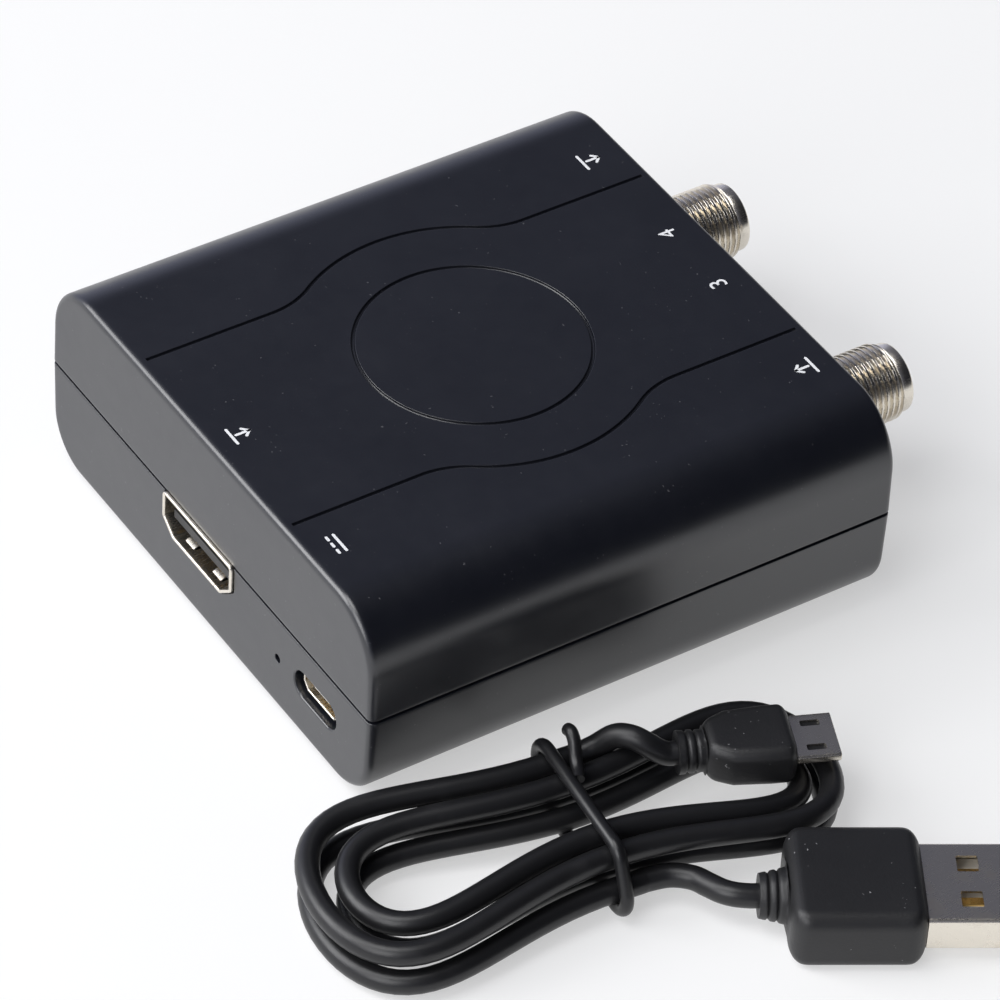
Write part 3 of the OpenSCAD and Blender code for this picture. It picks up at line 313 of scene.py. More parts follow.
def prism(
    outline: Array, start: float, end: float, upright: bool = False, last: Union[Array, None] = None
) -> Surface:
    """Solid between two outlines along Y or Z.

    Args:
        outline: its outline at the start.
        start: where it starts.
        end: where it ends.
        upright: stands along Z instead of Y.
        last: its outline at the end, where that is another one.

    Returns:
        The closed surface.
    """
    rings = np.stack([outline, outline if last is None else last])
    return Surface().loft((along_z if upright else along_y)(rings, np.array([start, end])))


def soft_rim(radius: float, face: float, soft: float, steps: int) -> Array:
    """Profile of a turned solid's rounded rim, from its lower face out to its side.

    At an angle a it lies at (radius - soft + soft sin a, face + soft (1 - cos a)).

    Args:
        radius: radius of the side.
        face: height of the lower face.
        soft: radius of the rounding.
        steps: faces along it.

    Returns:
        Pairs of radius and height.
    """
    a = quarter(steps)
    return np.stack([radius - soft + soft * np.sin(a), face + soft * (1 - np.cos(a))], axis=-1)


def flared(outline: Outline, face: float, inwards: float, deep: float, flare: float) -> Surface:
    """Cutter for an opening in a front or back wall, with a rounded edge at the face.

    Its outline grows towards the face by a quarter circle: at a depth t under the face it is
    larger by flare - sqrt(flare^2 - (flare - t)^2).

    Args:
        outline: gives the opening's outline grown by an offset.
        face: depth of the face along Y.
        inwards: +1 where the wall lies behind the face, -1 where it lies in front of it.
        deep: depth of the cut below the face.
        flare: radius of the rounded edge.

    Returns:
        The closed cutter.
    """
    a = quarter(SOFT_STEPS)
    grow = np.concatenate([[flare], flare * (1 - np.sin(a)), [0]])
    depth = np.concatenate([[-PAST], flare * (1 - np.cos(a)), [deep]])
    rings = np.stack([outline(float(g)) for g in grow])
    return Surface().loft(along_y(rings, face + inwards * depth))


def lathe(profile: Points, sides: int, centre: Sequence[float], upright: bool = False) -> Array:
    """Surface of revolution: a profile of (radius, distance) turned round Y or Z.

    Args:
        profile: pairs of radius and distance along the axis.
        sides: points of each ring.
        centre: a point of the axis.
        upright: turns round Z instead of Y.

    Returns:
        Rings by points by three.
    """
    p = np.asarray(profile, float)
    ring = unit(full_turn(sides)) * p[:, 0, None, None]
    return (along_z if upright else along_y)(ring, p[:, 1]) + np.asarray(centre, float)


def tube(path: Array, radius: Number, sides: int) -> Array:
    """Rings carried along a path that is never upright.

    Each ring lies square to the path, on the level direction across it and the direction that
    completes the two, so the tube doesn't twist.

    Args:
        path: the points of the middle line.
        radius: one radius, or one for each point.
        sides: points of each ring.

    Returns:
        Rings by points by three.
    """
    way = np.gradient(path, axis=0)
    way /= np.linalg.norm(way, axis=1, keepdims=True)
    across = np.cross(way, [0.0, 0.0, 1.0])
    across /= np.linalg.norm(across, axis=1, keepdims=True)
    over = np.cross(across, way)
    a = full_turn(sides)[:, None]
    ring = np.cos(a) * across[:, None] + np.sin(a) * over[:, None]
    radii = np.broadcast_to(np.asarray(radius, float), (len(path),))
    return path[:, None] + ring * radii[:, None, None]


def spline(knots: Points, steps: int) -> Array:
    """Smooth line through points: a Catmull-Rom curve.

    Between two knots it is the cubic whose slope at each knot is half the way from the knot
    before to the knot after.

    Args:
        knots: the points that the line goes through.
        steps: pieces between two knots.

    Returns:
        The line's points.
    """
    k = np.asarray(knots, float)
    k = np.vstack([2 * k[0] - k[1], k, 2 * k[-1] - k[-2]])
    t = (np.arange(steps) / steps)[:, None, None]
    p0, p1, p2, p3 = k[:-3], k[1:-2], k[2:-1], k[3:]
    square = 2 * p0 - 5 * p1 + 4 * p2 - p3
    cube = 3 * (p1 - p2) + p3 - p0
    line = p1 + 0.5 * t * (p2 - p0 + t * (square + t * cube))
    return np.vstack([line.transpose(1, 0, 2).reshape(-1, k.shape[1]), k[-2]])


@dataclass(frozen=True)
class Mouth:
    """Outline of a socket or plug that fits one way round, with its narrow side down.

    From the foot its sides slant outwards up to a bend, and then they stand upright.
    """

    half: float
    foot: float
    low: float
    bend: float
    high: float
    corner_r: float
    steps: int

    def grown(self, grow: float) -> Array:
        """Gives the outline, pushed outwards by an offset."""
        right = [[self.foot, self.low], [self.half, self.bend], [self.half, self.high]]
        left = [[-x, z] for x, z in right[::-1]]
        return rounded(left[-1:] + right + left[:-1], self.corner_r, self.steps, grow)


VIDEO_MOUTH = Mouth(half=7.6, foot=5.244, low=0, bend=1.972, high=5.8, corner_r=0.7, steps=6)
POWER_MOUTH = Mouth(half=3.75, foot=2.8125, low=0, bend=1.04, high=2.6, corner_r=0.42, steps=5)
SMALL_MOUTH = Mouth(half=3.425, foot=2.603, low=-0.9, bend=0, high=0.9, corner_r=0.32, steps=5)


# Finishes


class Value:
    """A shader socket that carries a number; Python's operators add its Math nodes."""

    def __init__(self, graph: "Graph", socket: bpy.types.NodeSocket) -> None:
        """Wraps a socket of a graph."""
        self.graph = graph
        self.socket = socket

    def _math(self, operation: str, a: "Scalar", b: "Scalar") -> "Value":
        """Adds one Math node on two numbers or sockets."""
        made = self.graph.node("ShaderNodeMath", {"operation": operation}, {0: a, 1: b})
        return Value(self.graph, made.outputs[0])

    def __add__(self, other: "Scalar") -> "Value":
        """Adds."""
        return self._math("ADD", self, other)

    def __sub__(self, other: "Scalar") -> "Value":
        """Takes away."""
        return self._math("SUBTRACT", self, other)

    def __rsub__(self, other: "Scalar") -> "Value":
        """Is taken away from a number."""
        return self._math("SUBTRACT", other, self)

    def __mul__(self, other: "Scalar") -> "Value":
        """Multiplies."""
        return self._math("MULTIPLY", self, other)

    def over(self, level: float, soft: float) -> "Value":
        """Mask that goes from 0 at a level to 1 at the level plus a soft step.

        Args:
            level: the value at which the mask starts.
            soft: the width of its rise.

        Returns:
            The mask.
        """
        made = self.graph.node(
            "ShaderNodeMapRange",
            {"clamp": True, "interpolation_type": "SMOOTHSTEP"},
            {"Value": self, "From Min": level, "From Max": level + soft},
        )
        return Value(self.graph, made.outputs[0])

    __radd__ = __add__
    __rmul__ = __mul__


Scalar = Union[float, Value]


class Graph:
    """The node tree of one material or world."""

    def __init__(self, owner: Union[bpy.types.Material, bpy.types.World]) -> None:
        """Empties the tree of a material or world."""
        self.owner = owner
        owner.use_nodes = True
        self.tree = owner.node_tree
        self.tree.nodes.clear()

    def node(
        self,
        kind: str,
        settings: Union[dict[str, object], None] = None,
        sockets: Union[dict[Union[str, int], object], None] = None,
    ) -> bpy.types.Node:
        """Adds a node: its settings first, then the values or links of its sockets.

        Args:
            kind: the node's type.
            settings: its properties.
            sockets: numbers, colours, sockets or Values by a socket's name or index.

        Returns:
            The node.
        """
        made = self.tree.nodes.new(kind)
        for key, value in (settings or {}).items():
            setattr(made, key, value)
        for key, value in (sockets or {}).items():
            if isinstance(key, int):
                socket = made.inputs[key]
            else:
                socket = next(s for s in made.inputs if key in (s.identifier, s.name) and s.enabled)
            if isinstance(value, Value):
                value = value.socket
            if isinstance(value, bpy.types.NodeSocket):
                self.tree.links.new(value, socket)
            elif isinstance(value, tuple) and socket.type == "RGBA":
                socket.default_value = (*value, 1)
            else:
                socket.default_value = value
        return made

    def coordinates(self, stretch: Triple = (1, 1, 1)) -> bpy.types.NodeSocket:
        """Object coordinates in millimetres, squeezed along each axis by a factor."""
        place = self.node("ShaderNodeTexCoord").outputs["Object"]
        scale = tuple(s / MM for s in stretch)
        return self.node("ShaderNodeMapping", {}, {"Vector": place, "Scale": scale}).outputs[0]

    def noise(self, size: float, detail: float = 2.0, stretch: Triple = (1, 1, 1)) -> Value:
        """Cloudy noise.

        Args:
            size: the size of its features in millimetres.
            detail: how many finer layers it has.
            stretch: a factor along each axis, below 1 where features are long.

        Returns:
            A value about 0.5 that runs from 0 to 1.
        """
        sockets = {"Vector": self.coordinates(stretch), "Scale": 1 / size, "Detail": detail}
        return Value(self, self.node("ShaderNodeTexNoise", {}, sockets).outputs[0])

    def cells(self, size: float) -> Value:
        """Distance from the middle of the nearest of many small cells, in cells."""
        sockets = {"Vector": self.coordinates(), "Scale": 1 / size}
        return Value(self, self.node("ShaderNodeTexVoronoi", {}, sockets).outputs["Distance"])

    def mix(self, mask: Scalar, low: object, high: object) -> bpy.types.NodeSocket:
        """Colour that goes from one colour to another with a mask.

        Args:
            mask: 0 for the first colour, 1 for the second.
            low: the first colour or socket.
            high: the second colour or socket.

        Returns:
            The colour's socket.
        """
        sockets = {"Factor_Float": mask, "A_Color": low, "B_Color": high}
        return self.node("ShaderNodeMix", {"data_type": "RGBA"}, sockets).outputs[2]

    def bump(self, height: Value, deep: float, strength: float = 1.0) -> bpy.types.NodeSocket:
        """Normal of a surface with small ups and downs.

        Args:
            height: their height from 0 to 1.
            deep: the height in millimetres that 1 stands for.
            strength: how much of the bump counts.

        Returns:
            The normal's socket.
        """
        sockets = {"Height": height, "Distance": deep * MM, "Strength": strength}
        return self.node("ShaderNodeBump", {}, sockets).outputs[0]

    def principled(self, sockets: dict[Union[str, int], object]) -> bpy.types.NodeSocket:
        """Adds the Principled shader and gives its output."""
        return self.node("ShaderNodeBsdfPrincipled", {}, sockets).outputs[0]

    def close(self, sockets: dict[Union[str, int], object]) -> bpy.types.Material:
        """Adds the Principled shader and ends the material.

        Args:
            sockets: what its sockets get.

        Returns:
            The material.
        """
        self.node("ShaderNodeOutputMaterial", {}, {0: self.principled(sockets)})
        return self.owner


def shade(colour: Colour, factor: float) -> Colour:
    """A colour made lighter or darker by a factor."""
    return tuple(min(1.0, c * factor) for c in colour)


@dataclass(frozen=True)
class Moulded:
    """A moulded plastic or rubber with a fine grain, faint clouds and a little dust.

    A mask is the level at which it starts and the width of its rise. The fields whose names
    start with rough say how much of a pattern goes into the roughness.
    """

    name: str
    colour: Colour
    roughness: float = 0.4
    grain: float = 0.35
    deep: float = 0.004
    clouds: float = 0.12
    dust: float = 0.0
    specular: float = 0.5
    cloud_size: float = 14.0
    fine_size: float = 2.2
    speck_size: float = 0.42
    speck_mask: Pair = (0.735, 0.03)
    patch_size: float = 3.1
    patch_mask: Pair = (0.5, 0.1)
    dust_colour: Colour = (0.45, 0.45, 0.46)
    rough_clouds: float = 0.10
    rough_fine: float = 0.08
    rough_dust: float = 0.3

    def build(self) -> bpy.types.Material:
        """Makes the material: grain in the normal, clouds and dust in colour and roughness."""
        g = Graph(bpy.data.materials.new(self.name))
        grain = g.noise(self.grain, detail=3)
        cloud = g.noise(self.cloud_size)
        fine = g.noise(self.fine_size, detail=3)
        speck = g.noise(self.speck_size, detail=1).over(*self.speck_mask)
        dust = speck * g.noise(self.patch_size, detail=1).over(*self.patch_mask) * self.dust
        tone = g.mix(cloud, shade(self.colour, 1 - self.clouds), shade(self.colour, 1 + self.clouds))
        rough = (cloud - 0.5) * self.rough_clouds + (fine - 0.5) * self.rough_fine
        return g.close(
            {
                "Base Color": g.mix(dust, tone, self.dust_colour),
                "Roughness": rough + dust * self.rough_dust + self.roughness,
                "Normal": g.bump(grain, self.deep),
                "Specular IOR Level": self.specular,
            }
        )


@dataclass(frozen=True)
class Plated:
    """A plated or bare metal with drawing lines, faint stains and a worn sheen."""

    name: str
    colour: Colour
    stain: Colour
    roughness: float
    line_size: float = 0.12
    line_stretch: Triple = (1.0, 0.08, 1.0)
    line_deep: float = 0.0005
    stain_size: float = 3.5
    stain_mask: Pair = (0.48, 0.3)
    stained: float = 0.35
    rough_stains: float = 0.25
    rough_lines: float = 0.08

    def build(self) -> bpy.types.Material:
        """Makes the material: lines in the normal, stains in colour and roughness."""
        g = Graph(bpy.data.materials.new(self.name))
        lines = g.noise(self.line_size, stretch=self.line_stretch)
        stain = g.noise(self.stain_size, detail=3).over(*self.stain_mask) * self.stained
        rough = stain * self.rough_stains + (lines - 0.5) * self.rough_lines + self.roughness
        return g.close(
            {
                "Base Color": g.mix(stain, self.colour, self.stain),
                "Metallic": 1.0,
                "Roughness": rough,
                "Normal": g.bump(lines, self.line_deep),
            }
        )


@dataclass(frozen=True)
class Jacket:
    """The soft vinyl of a cable: satin, with a faint unevenness and rubbed places."""

    name: str
    colour: Colour
    roughness: float = 0.36
    slow_size: float = 1.6
    fine_size: float = 0.3
    fine_share: float = 0.2
    deep: float = 0.02
    rub_size: float = 7.0
    rub_mask: Pair = (0.55, 0.2)
    rub_shade: float = 1.5
    rough_rub: float = 0.1
    rough_slow: float = 0.08

    def build(self) -> bpy.types.Material:
        """Makes the material: unevenness in the normal, rubbed places in colour and roughness."""
        g = Graph(bpy.data.materials.new(self.name))
        slow = g.noise(self.slow_size)
        rub = g.noise(self.rub_size, detail=3).over(*self.rub_mask)
        uneven = slow * (1 - self.fine_share) + g.noise(self.fine_size) * self.fine_share
        return g.close(
            {
                "Base Color": g.mix(rub, self.colour, shade(self.colour, self.rub_shade)),
                "Roughness": rub * self.rough_rub + (slow - 0.5) * self.rough_slow + self.roughness,
                "Normal": g.bump(uneven, self.deep),
            }
        )


@dataclass(frozen=True)
class Laminate:
    """A circuit board: green mask over copper tracks, with tinned pads."""

    name: str = "board_laminate"
    mask: Colour = (0.012, 0.085, 0.035)
    copper: Colour = (0.03, 0.17, 0.06)
    tin: Colour = (0.62, 0.6, 0.56)
    track_size: float = 3.0
    track_stretch: Triple = (1, 0.15, 1)
    track_mask: Pair = (0.52, 0.01)
    pad_size: float = 2.4
    pad_mask: Pair = (0.16, 0.02)
    roughness: float = 0.42
    smoother: float = 0.15
    deep: float = 0.03

    def build(self) -> bpy.types.Material:
        """Makes the material: tracks from bands of stretched noise, raised a little."""
        g = Graph(bpy.data.materials.new(self.name))
        tracks = g.noise(self.track_size, detail=0, stretch=self.track_stretch).over(*self.track_mask)
        pads = 1 - g.cells(self.pad_size).over(*self.pad_mask)
        tone = g.mix(tracks, self.mask, self.copper)
        return g.close(
            {
                "Base Color": g.mix(pads, tone, self.tin),
                "Metallic": pads,
                "Roughness": self.roughness - pads * self.smoother,
                "Normal": g.bump(tracks + pads, self.deep),
            }
        )


@dataclass(frozen=True)
class Lens:
    """The clear resin of a small light, faintly milky."""

    name: str = "led_epoxy"
    dark: Colour = (0.32, 0.4, 0.3)
    milky: Colour = (0.5, 0.56, 0.46)
    cloud_size: float = 0.6
    roughness: float = 0.12
    rough_clouds: float = 0.08
    clear: float = 0.35
    ior: float = 1.5

    def build(self) -> bpy.types.Material:
        """Makes the material: milky clouds in a smooth, partly clear body."""
        g = Graph(bpy.data.materials.new(self.name))
        cloud = g.noise(self.cloud_size)
        return g.close(
            {
                "Base Color": g.mix(cloud, self.dark, self.milky),
                "Roughness": cloud * self.rough_clouds + self.roughness,
                "Transmission Weight": self.clear,
                "IOR": self.ior,
            }
        )


@dataclass(frozen=True)
class Ink:
    """Pad-printed ink that is a little thin in places."""

    name: str = "mark_ink"
    colour: Colour = (0.86, 0.87, 0.88)
    under: Colour = (0.3, 0.31, 0.33)
    thin_size: float = 0.18
    thin_mask: Pair = (0.55, 0.2)
    thinned: float = 0.3
    roughness: float = 0.45
    rough_thin: float = 0.3
    grain: float = 0.08
    deep: float = 0.003

    def build(self) -> bpy.types.Material:
        """Makes the material: thin places let the plastic darken the ink."""
        g = Graph(bpy.data.materials.new(self.name))
        thin = g.noise(self.thin_size, detail=3).over(*self.thin_mask) * self.thinned
        return g.close(
            {
                "Base Color": g.mix(thin, self.colour, self.under),
                "Roughness": thin * self.rough_thin + self.roughness,
                "Normal": g.bump(g.noise(self.grain), self.deep),
            }
        )


Finish = Union[Moulded, Plated, Jacket, Laminate, Lens, Ink]

FINISHES: tuple[Finish, ...] = (
    Moulded(
        "housing_plastic", (0.0050, 0.0058, 0.0098), roughness=0.32, grain=0.45, deep=0.0035, dust=0.14,
        specular=1.0,
    ),
    Moulded("foot_rubber", (0.012, 0.012, 0.013), 0.62, grain=0.3, deep=0.01, clouds=0.2, dust=0.6),
    Moulded("slider_nylon", (0.011, 0.012, 0.014), 0.42, grain=0.3, deep=0.003),
    Moulded("grip_vinyl", (0.013, 0.013, 0.014), 0.45, grain=0.32, deep=0.022, clouds=0.2, dust=0.5),
    Moulded("tie_plastic", (0.009, 0.009, 0.010), 0.33, grain=0.5, deep=0.003),
    Moulded("black_insulator", (0.012, 0.012, 0.013), 0.42, grain=0.3, deep=0.002),
    Moulded("pale_insulator", (0.78, 0.75, 0.68), 0.38, grain=0.4, deep=0.003),
    Moulded("chip_epoxy", (0.018, 0.018, 0.019), 0.55, grain=0.12, clouds=0.2, dust=0.3),
    Moulded("ferrite", (0.035, 0.034, 0.035), 0.6, grain=0.2, deep=0.006, clouds=0.3),
    Moulded("ceramic_parts", (0.33, 0.25, 0.16), 0.5, grain=0.3, deep=0.003, clouds=0.3),
    Plated("nickel", (0.82, 0.77, 0.68), (0.52, 0.43, 0.32), 0.26),
    Plated("screw_steel", (0.5, 0.5, 0.52), (0.3, 0.27, 0.24), 0.34),
    Plated("tinned_steel", (0.62, 0.63, 0.65), (0.45, 0.44, 0.43), 0.32),
    Plated("gold_contact", (0.86, 0.62, 0.26), (0.6, 0.42, 0.2), 0.2),
    Plated("capacitor_aluminium", (0.75, 0.76, 0.78), (0.6, 0.6, 0.6), 0.28),
    Jacket("cable_jacket", (0.010, 0.010, 0.011)),
    Laminate(),
    Lens(),
    Ink(),
)


class Finishes:
    """Every finish of the unit, made once and given out by its slot."""

    def __init__(self, slots: set[str]) -> None:
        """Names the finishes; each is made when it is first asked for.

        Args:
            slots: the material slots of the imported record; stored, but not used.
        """
        self.slots = slots
        self.known = {finish.name: finish for finish in FINISHES}
        self.made: dict[str, bpy.types.Material] = {}

    def get(self, slot: str) -> bpy.types.Material:
        """Gives the material of a slot, made at the first call."""
        if slot not in self.made:
            self.made[slot] = self.known[slot].build()
        return self.made[slot]


# Pieces


class Cut(Enum):
    """What a second solid does to a piece."""

    ADD = "UNION"
    REMOVE = "DIFFERENCE"


Steps = Iterable[tuple[Cut, list[Surface]]]


def put(name: str, data: bpy.types.ID) -> bpy.types.Object:
    """Makes an object of some data and links it to the scene.

    Args:
        name: the object's name.
        data: its mesh, curve, camera or light.

    Returns:
        The object.
    """
    made = bpy.data.objects.new(name, data)
    bpy.context.scene.collection.objects.link(made)
    return made


def dress(mesh: bpy.types.Mesh, material: bpy.types.Material) -> None:
    """Gives a mesh one material in place of those that it has."""
    mesh.materials.clear()
    mesh.materials.append(material)


@dataclass
class Assembly:
    """A sub-assembly: it places its pieces, dresses them and reports them."""

    finishes: Finishes
    place: Place

    def piece(
        self,
        name: str,
        surface: Surface,
        slot: str,
        nodes: Sequence[str] = (),
        steps: Steps = (),
        body: str = BODY,
        sharp: float = 32.0,
    ) -> bpy.types.Object:
        """Makes a piece from a surface, works it, dresses it and puts it on its body.

        Args:
            name: the piece's name.
            surface: its form before it is worked.
            slot: the finish it gets.
            nodes: the CAD nodes that it stands for.
            steps: solids to add or remove, in order.
            body: the CAD body that it rides on.
            sharp: the angle between faces above which an edge stays sharp.

        Returns:
            The piece.
        """
        made = put(name, surface.mesh(name, self.place))
        for cut, solids in steps:
            self.work(made, cut, solids)
        dress(made.data, self.finishes.get(slot))
        made.data.shade_smooth()
        made.data.set_sharp_from_angle(angle=math.radians(sharp))
        return self.register(made, slot, nodes, body)

    def register(
        self, made: bpy.types.Object, slot: str, nodes: Sequence[str], body: str = BODY
    ) -> bpy.types.Object:
        """Puts a finished object on its body, in place of its CAD nodes, and reports it.

        Args:
            made: the object.
            slot: the record's slot of its finish; not used.
            nodes: the CAD nodes that it stands for.
            body: the CAD body that it rides on.

        Returns:
            The object.
        """
        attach(made, body)
        if nodes:
            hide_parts(*nodes)
        faces = len(made.data.polygons)
        LOG.info("%s: %d faces for %s", made.name, faces, ", ".join(nodes) or "no node")
        return made

    def work(self, made: bpy.types.Object, cut: Cut, solids: list[Surface]) -> None:
        """Adds solids to an object, or cuts them out of it, and keeps the result as its mesh.

        Args:
            made: the object to work.
            cut: whether the solids are added or removed.
            solids: closed surfaces in the assembly's own frame.
        """
        holder = bpy.data.collections.new(f"{made.name}_tools")
        bpy.context.scene.collection.children.link(holder)
        for i, solid in enumerate(solids):
            tool = bpy.data.objects.new(f"tool_{i}", solid.mesh(f"tool_{i}", self.place))
            holder.objects.link(tool)
        worker = made.modifiers.new("work", "BOOLEAN")
        worker.operation = cut.value
        worker.solver = "EXACT"
        worker.operand_type = "COLLECTION"
        worker.collection = holder
        graph = bpy.context.evaluated_depsgraph_get()
        result = bpy.data.meshes.new_from_object(made.evaluated_get(graph))
        made.modifiers.clear()
        made.data = result
        for tool in list(holder.objects):
            bpy.data.meshes.remove(tool.data)
        bpy.data.collections.remove(holder)


# Housing


class Cover(Enum):
    """The two halves of the housing, each with the way it faces."""

    TOP = 1
    BOTTOM = -1


@dataclass(frozen=True)
class Port:
    """An opening of the front or back wall, with the rounded edge at its face."""

    outline: Outline
    x: float
    z: float
    flare: float
    back: bool = False

    def cutter(self, depth: float, deep: float) -> Surface:
        """Makes the opening's cutter.

        Args:
            depth: the housing's depth, where the back wall's face lies.
            deep: how far the cut goes below the face.

        Returns:
            The closed cutter.
        """
        face, inwards = (depth, -1) if self.back else (0, 1)
        return flared(lambda grow: self.outline(grow) + (self.x, self.z), face, inwards, deep, self.flare)


@dataclass(frozen=True)
class Screw:
    """A case screw that stands on its pan head, with a cross recess underneath."""

    head_r: float = 2.2
    head_h: float = 1.6
    soft: float = 0.8
    root_r: float = 1.03
    thread: float = 0.22
    pitch: float = 0.7
    neck: float = 0.1
    threaded: float = 7.2
    row: float = 0.0875
    length: float = 9.0
    tip_r: float = 0.6
    cross: float = 2.6
    blade: float = 0.7
    blade_r: float = 0.15
    blade_deep: float = 0.9
    taper: float = 0.75

    def profile(self, seat: float) -> Array:
        """Turned profile of the screw, whose radius swings between the thread's root and crest.

        Args:
            seat: height of the face that the head bears on.

        Returns:
            Pairs of radius and height.
        """
        low, end = seat - self.head_h, seat + self.length
        z = np.arange(0.0, self.threaded, self.row)
        crest = self.root_r + self.thread * np.abs((z / self.pitch) % 1 * 2 - 1)
        head = [[AXIS_R, low], *soft_rim(self.head_r, low, self.soft, 5), [self.head_r, seat]]
        shank = np.stack([crest, seat + self.neck + z], axis=-1)
        return np.vstack([head, shank, [[self.tip_r, end], [AXIS_R, end]]])

    def recess(self, seat: float, x: float, y: float) -> list[Surface]:
        """Cutters of the cross under the head: two blades that narrow upwards.

        Args:
            seat: height of the face that the head bears on.
            x: the screw's middle across the housing.
            y: its middle along the housing.

        Returns:
            The closed cutters.
        """
        low, high = seat - self.head_h - PAST, seat - self.head_h + self.blade_deep
        blades = (plate(self.cross, self.blade, self.blade_r), plate(self.blade, self.cross, self.blade_r))
        return [prism(blade + (x, y), low, high, True, blade * self.taper + (x, y)) for blade in blades]


@dataclass
class Housing(Assembly):
    """The drafted clamshell: two covers, four feet and four screws."""

    width: float = 70.4
    depth: float = DEPTH
    under: float = 0.7
    split: float = 14.0
    top: float = TOP_Z
    top_r: float = 8.0
    bottom_r: float = 6.5
    edge_r: float = 0.9
    inner_r: float = 0.3
    draft: float = 1.5
    wall: float = 2.0
    gap: float = 0.4
    rim_r: float = 0.1
    lip_t: float = 0.9
    lip_h: float = 1.4
    rebate: float = 1.0
    support: float = 0.4
    arc_steps: int = 20
    edge_steps: int = 8
    rim_steps: int = 4
    crease: float = 13.0
    post_x: float = 26.5
    post_ys: Pair = (14.0, 56.0)
    deck: float = 7.0
    boss_d: float = 6.0
    boss_bore: float = 2.6
    boss_deep: float = 8.0
    web_t: float = 1.2
    web_gap: float = 0.1
    web_steps: int = 12
    column_d: float = 6.6
    column_h: float = 2.7
    column_bore: float = 3.0
    seat: float = 3.2
    head_bore: float = 5.0
    foot_d: float = 9.2
    foot_sink: float = 0.5
    foot_gap: float = 0.1
    foot_rim: float = 0.45
    foot_edge: float = 0.05
    # Dish under a foot: distances in from its side, with the heights there, and its middle's height
    foot_dish: tuple[Pair, ...] = ((1.5, 0.16), (1.1, 0.04), (0.8, 0.0))
    foot_middle: float = 0.18
    panel_half: float = 15.9
    bulge_r: float = 20.9
    blend_r: float = 10.8
    blend_steps: int = 16
    bulge_steps: int = 48
    ring_r: float = 13.7
    ring_sides: int = 144
    groove_w: float = 0.45
    groove_deep: float = 0.4
    groove_end: float = 1.3
    groove_flare: float = 0.06
    groove_above: float = 0.5
    video_gap: float = 0.15
    video_flare: float = 0.12
    notch_w: float = 16.4
    notch_h: float = 2.8
    notch_r: float = 0.2
    notch_z: float = 15.4
    slot_w: float = 8.8
    slot_h: float = 3.7
    slot_r: float = 1.84
    slot_z: float = 8.3
    slot_flare: float = 0.25
    led_x: float = 15.8
    led_z: float = 8.1
    led_d: float = 1.1
    led_r: float = 0.54
    led_flare: float = 0.08
    window_w: float = 7.0
    window_h: float = 3.2
    window_r: float = 0.3
    aerial_hole: float = 9.8
    back_flare: float = 0.2

    @property
    def posts(self) -> list[Pair]:
        """Middles of the four posts in the plan."""
        return [(x, y) for x in (-self.post_x, self.post_x) for y in self.post_ys]

    def wall_x(self, z: Number, inset: Number) -> Number:
        """Half-width of the leaning side wall at a height, drawn in by an inset."""
        lean = math.radians(self.draft)
        return self.width / 2 - inset / math.cos(lean) - math.tan(lean) * np.abs(z - self.split)

    def corner(self, cover: Cover) -> tuple[float, float, float]:
        """Middle and radius of a cover's long corner, tangent to the leaning wall and the flat.

        Args:
            cover: the cover.

        Returns:
            The middle's distance from the middle plane, its height, and the radius.
        """
        lean = math.radians(self.draft)
        r = self.top_r if cover is Cover.TOP else self.bottom_r
        z = self.top - r if cover is Cover.TOP else self.under + r
        x = self.width / 2 - (r + math.sin(lean) * abs(z - self.split)) / math.cos(lean)
        return x, z, r

    def skin(self, cover: Cover, inset: float, edge: float, start: float) -> Array:
        """Skin of a cover as a grid: across the section, and along the depth.

        Across, a row runs up one leaning wall, round the long corner, over the flat and down
        again. Along the depth, the whole section is drawn in towards each end by a quarter
        circle of the edge's radius: at an angle a it lies at the end plus edge (1 - cos a) and
        is drawn in by edge (1 - sin a).

        Args:
            cover: the cover.
            inset: how far the skin lies inside the housing's own.
            edge: radius of the edge round the front and back.
            start: height at which the skin starts.

        Returns:
            Rows along the depth by points across.
        """
        x0, z0, r = self.corner(cover)
        way = cover.value
        a = quarter(self.edge_steps)
        rows = np.concatenate([[0], edge * (1 - np.cos(a)), [edge + self.support]])
        drawn = np.concatenate([[edge + self.support], edge * (1 - np.sin(a)), [0]])
        y = np.concatenate([inset + rows, self.depth - inset - rows[::-1]])
        drawn = inset + np.concatenate([drawn, drawn[::-1]])[:, None]
        turn = np.linspace(math.radians(self.draft), math.pi / 2, self.arc_steps + 1)
        arc_r = r - drawn
        arc_x, arc_z = x0 + arc_r * np.cos(turn), z0 + way * arc_r * np.sin(turn)
        near = arc_z[:, :1] - way * self.support
        walls = [start + 0 * near, near]
        x = np.hstack([self.wall_x(z, drawn) for z in walls] + [arc_x, x0 - self.support + 0 * near])
        z = np.hstack(walls + [arc_z, arc_z[:, -1:]])
        x, z = np.hstack([x, -x[:, ::-1]]), np.hstack([z, z[:, ::-1]])
        return along_y(np.stack([x, z], axis=-1), y)

    def rim(self, levels: Sequence[tuple[float, float, float]]) -> Array:
        """Rim of a cover as loops round its plan.

        Each loop is a rectangle with round corners, drawn in from the housing's outline. Points
        lie only on the corners and just beside them, where the skin has its own.

        Args:
            levels: inset, corner radius and height of each loop.

        Returns:
            Loops by points.
        """
        level = np.asarray(levels, float)
        inset, r, z = level[:, 0:1], level[:, 1:2], level[:, 2:3]
        a = quarter(self.edge_steps)
        x = self.wall_x(z, inset + np.hstack([r + self.support, r * (1 - np.sin(a)), 0 * r]))
        y = inset + np.hstack([0 * r, r * (1 - np.cos(a)), r + self.support])
        back = self.depth - y[:, ::-1]
        round_x = np.hstack([x, x[:, ::-1], -x, -x[:, ::-1]])
        round_y = np.hstack([y, back, self.depth - y, y[:, ::-1]])
        return np.stack([round_x, round_y, z + 0 * round_x], axis=-1)

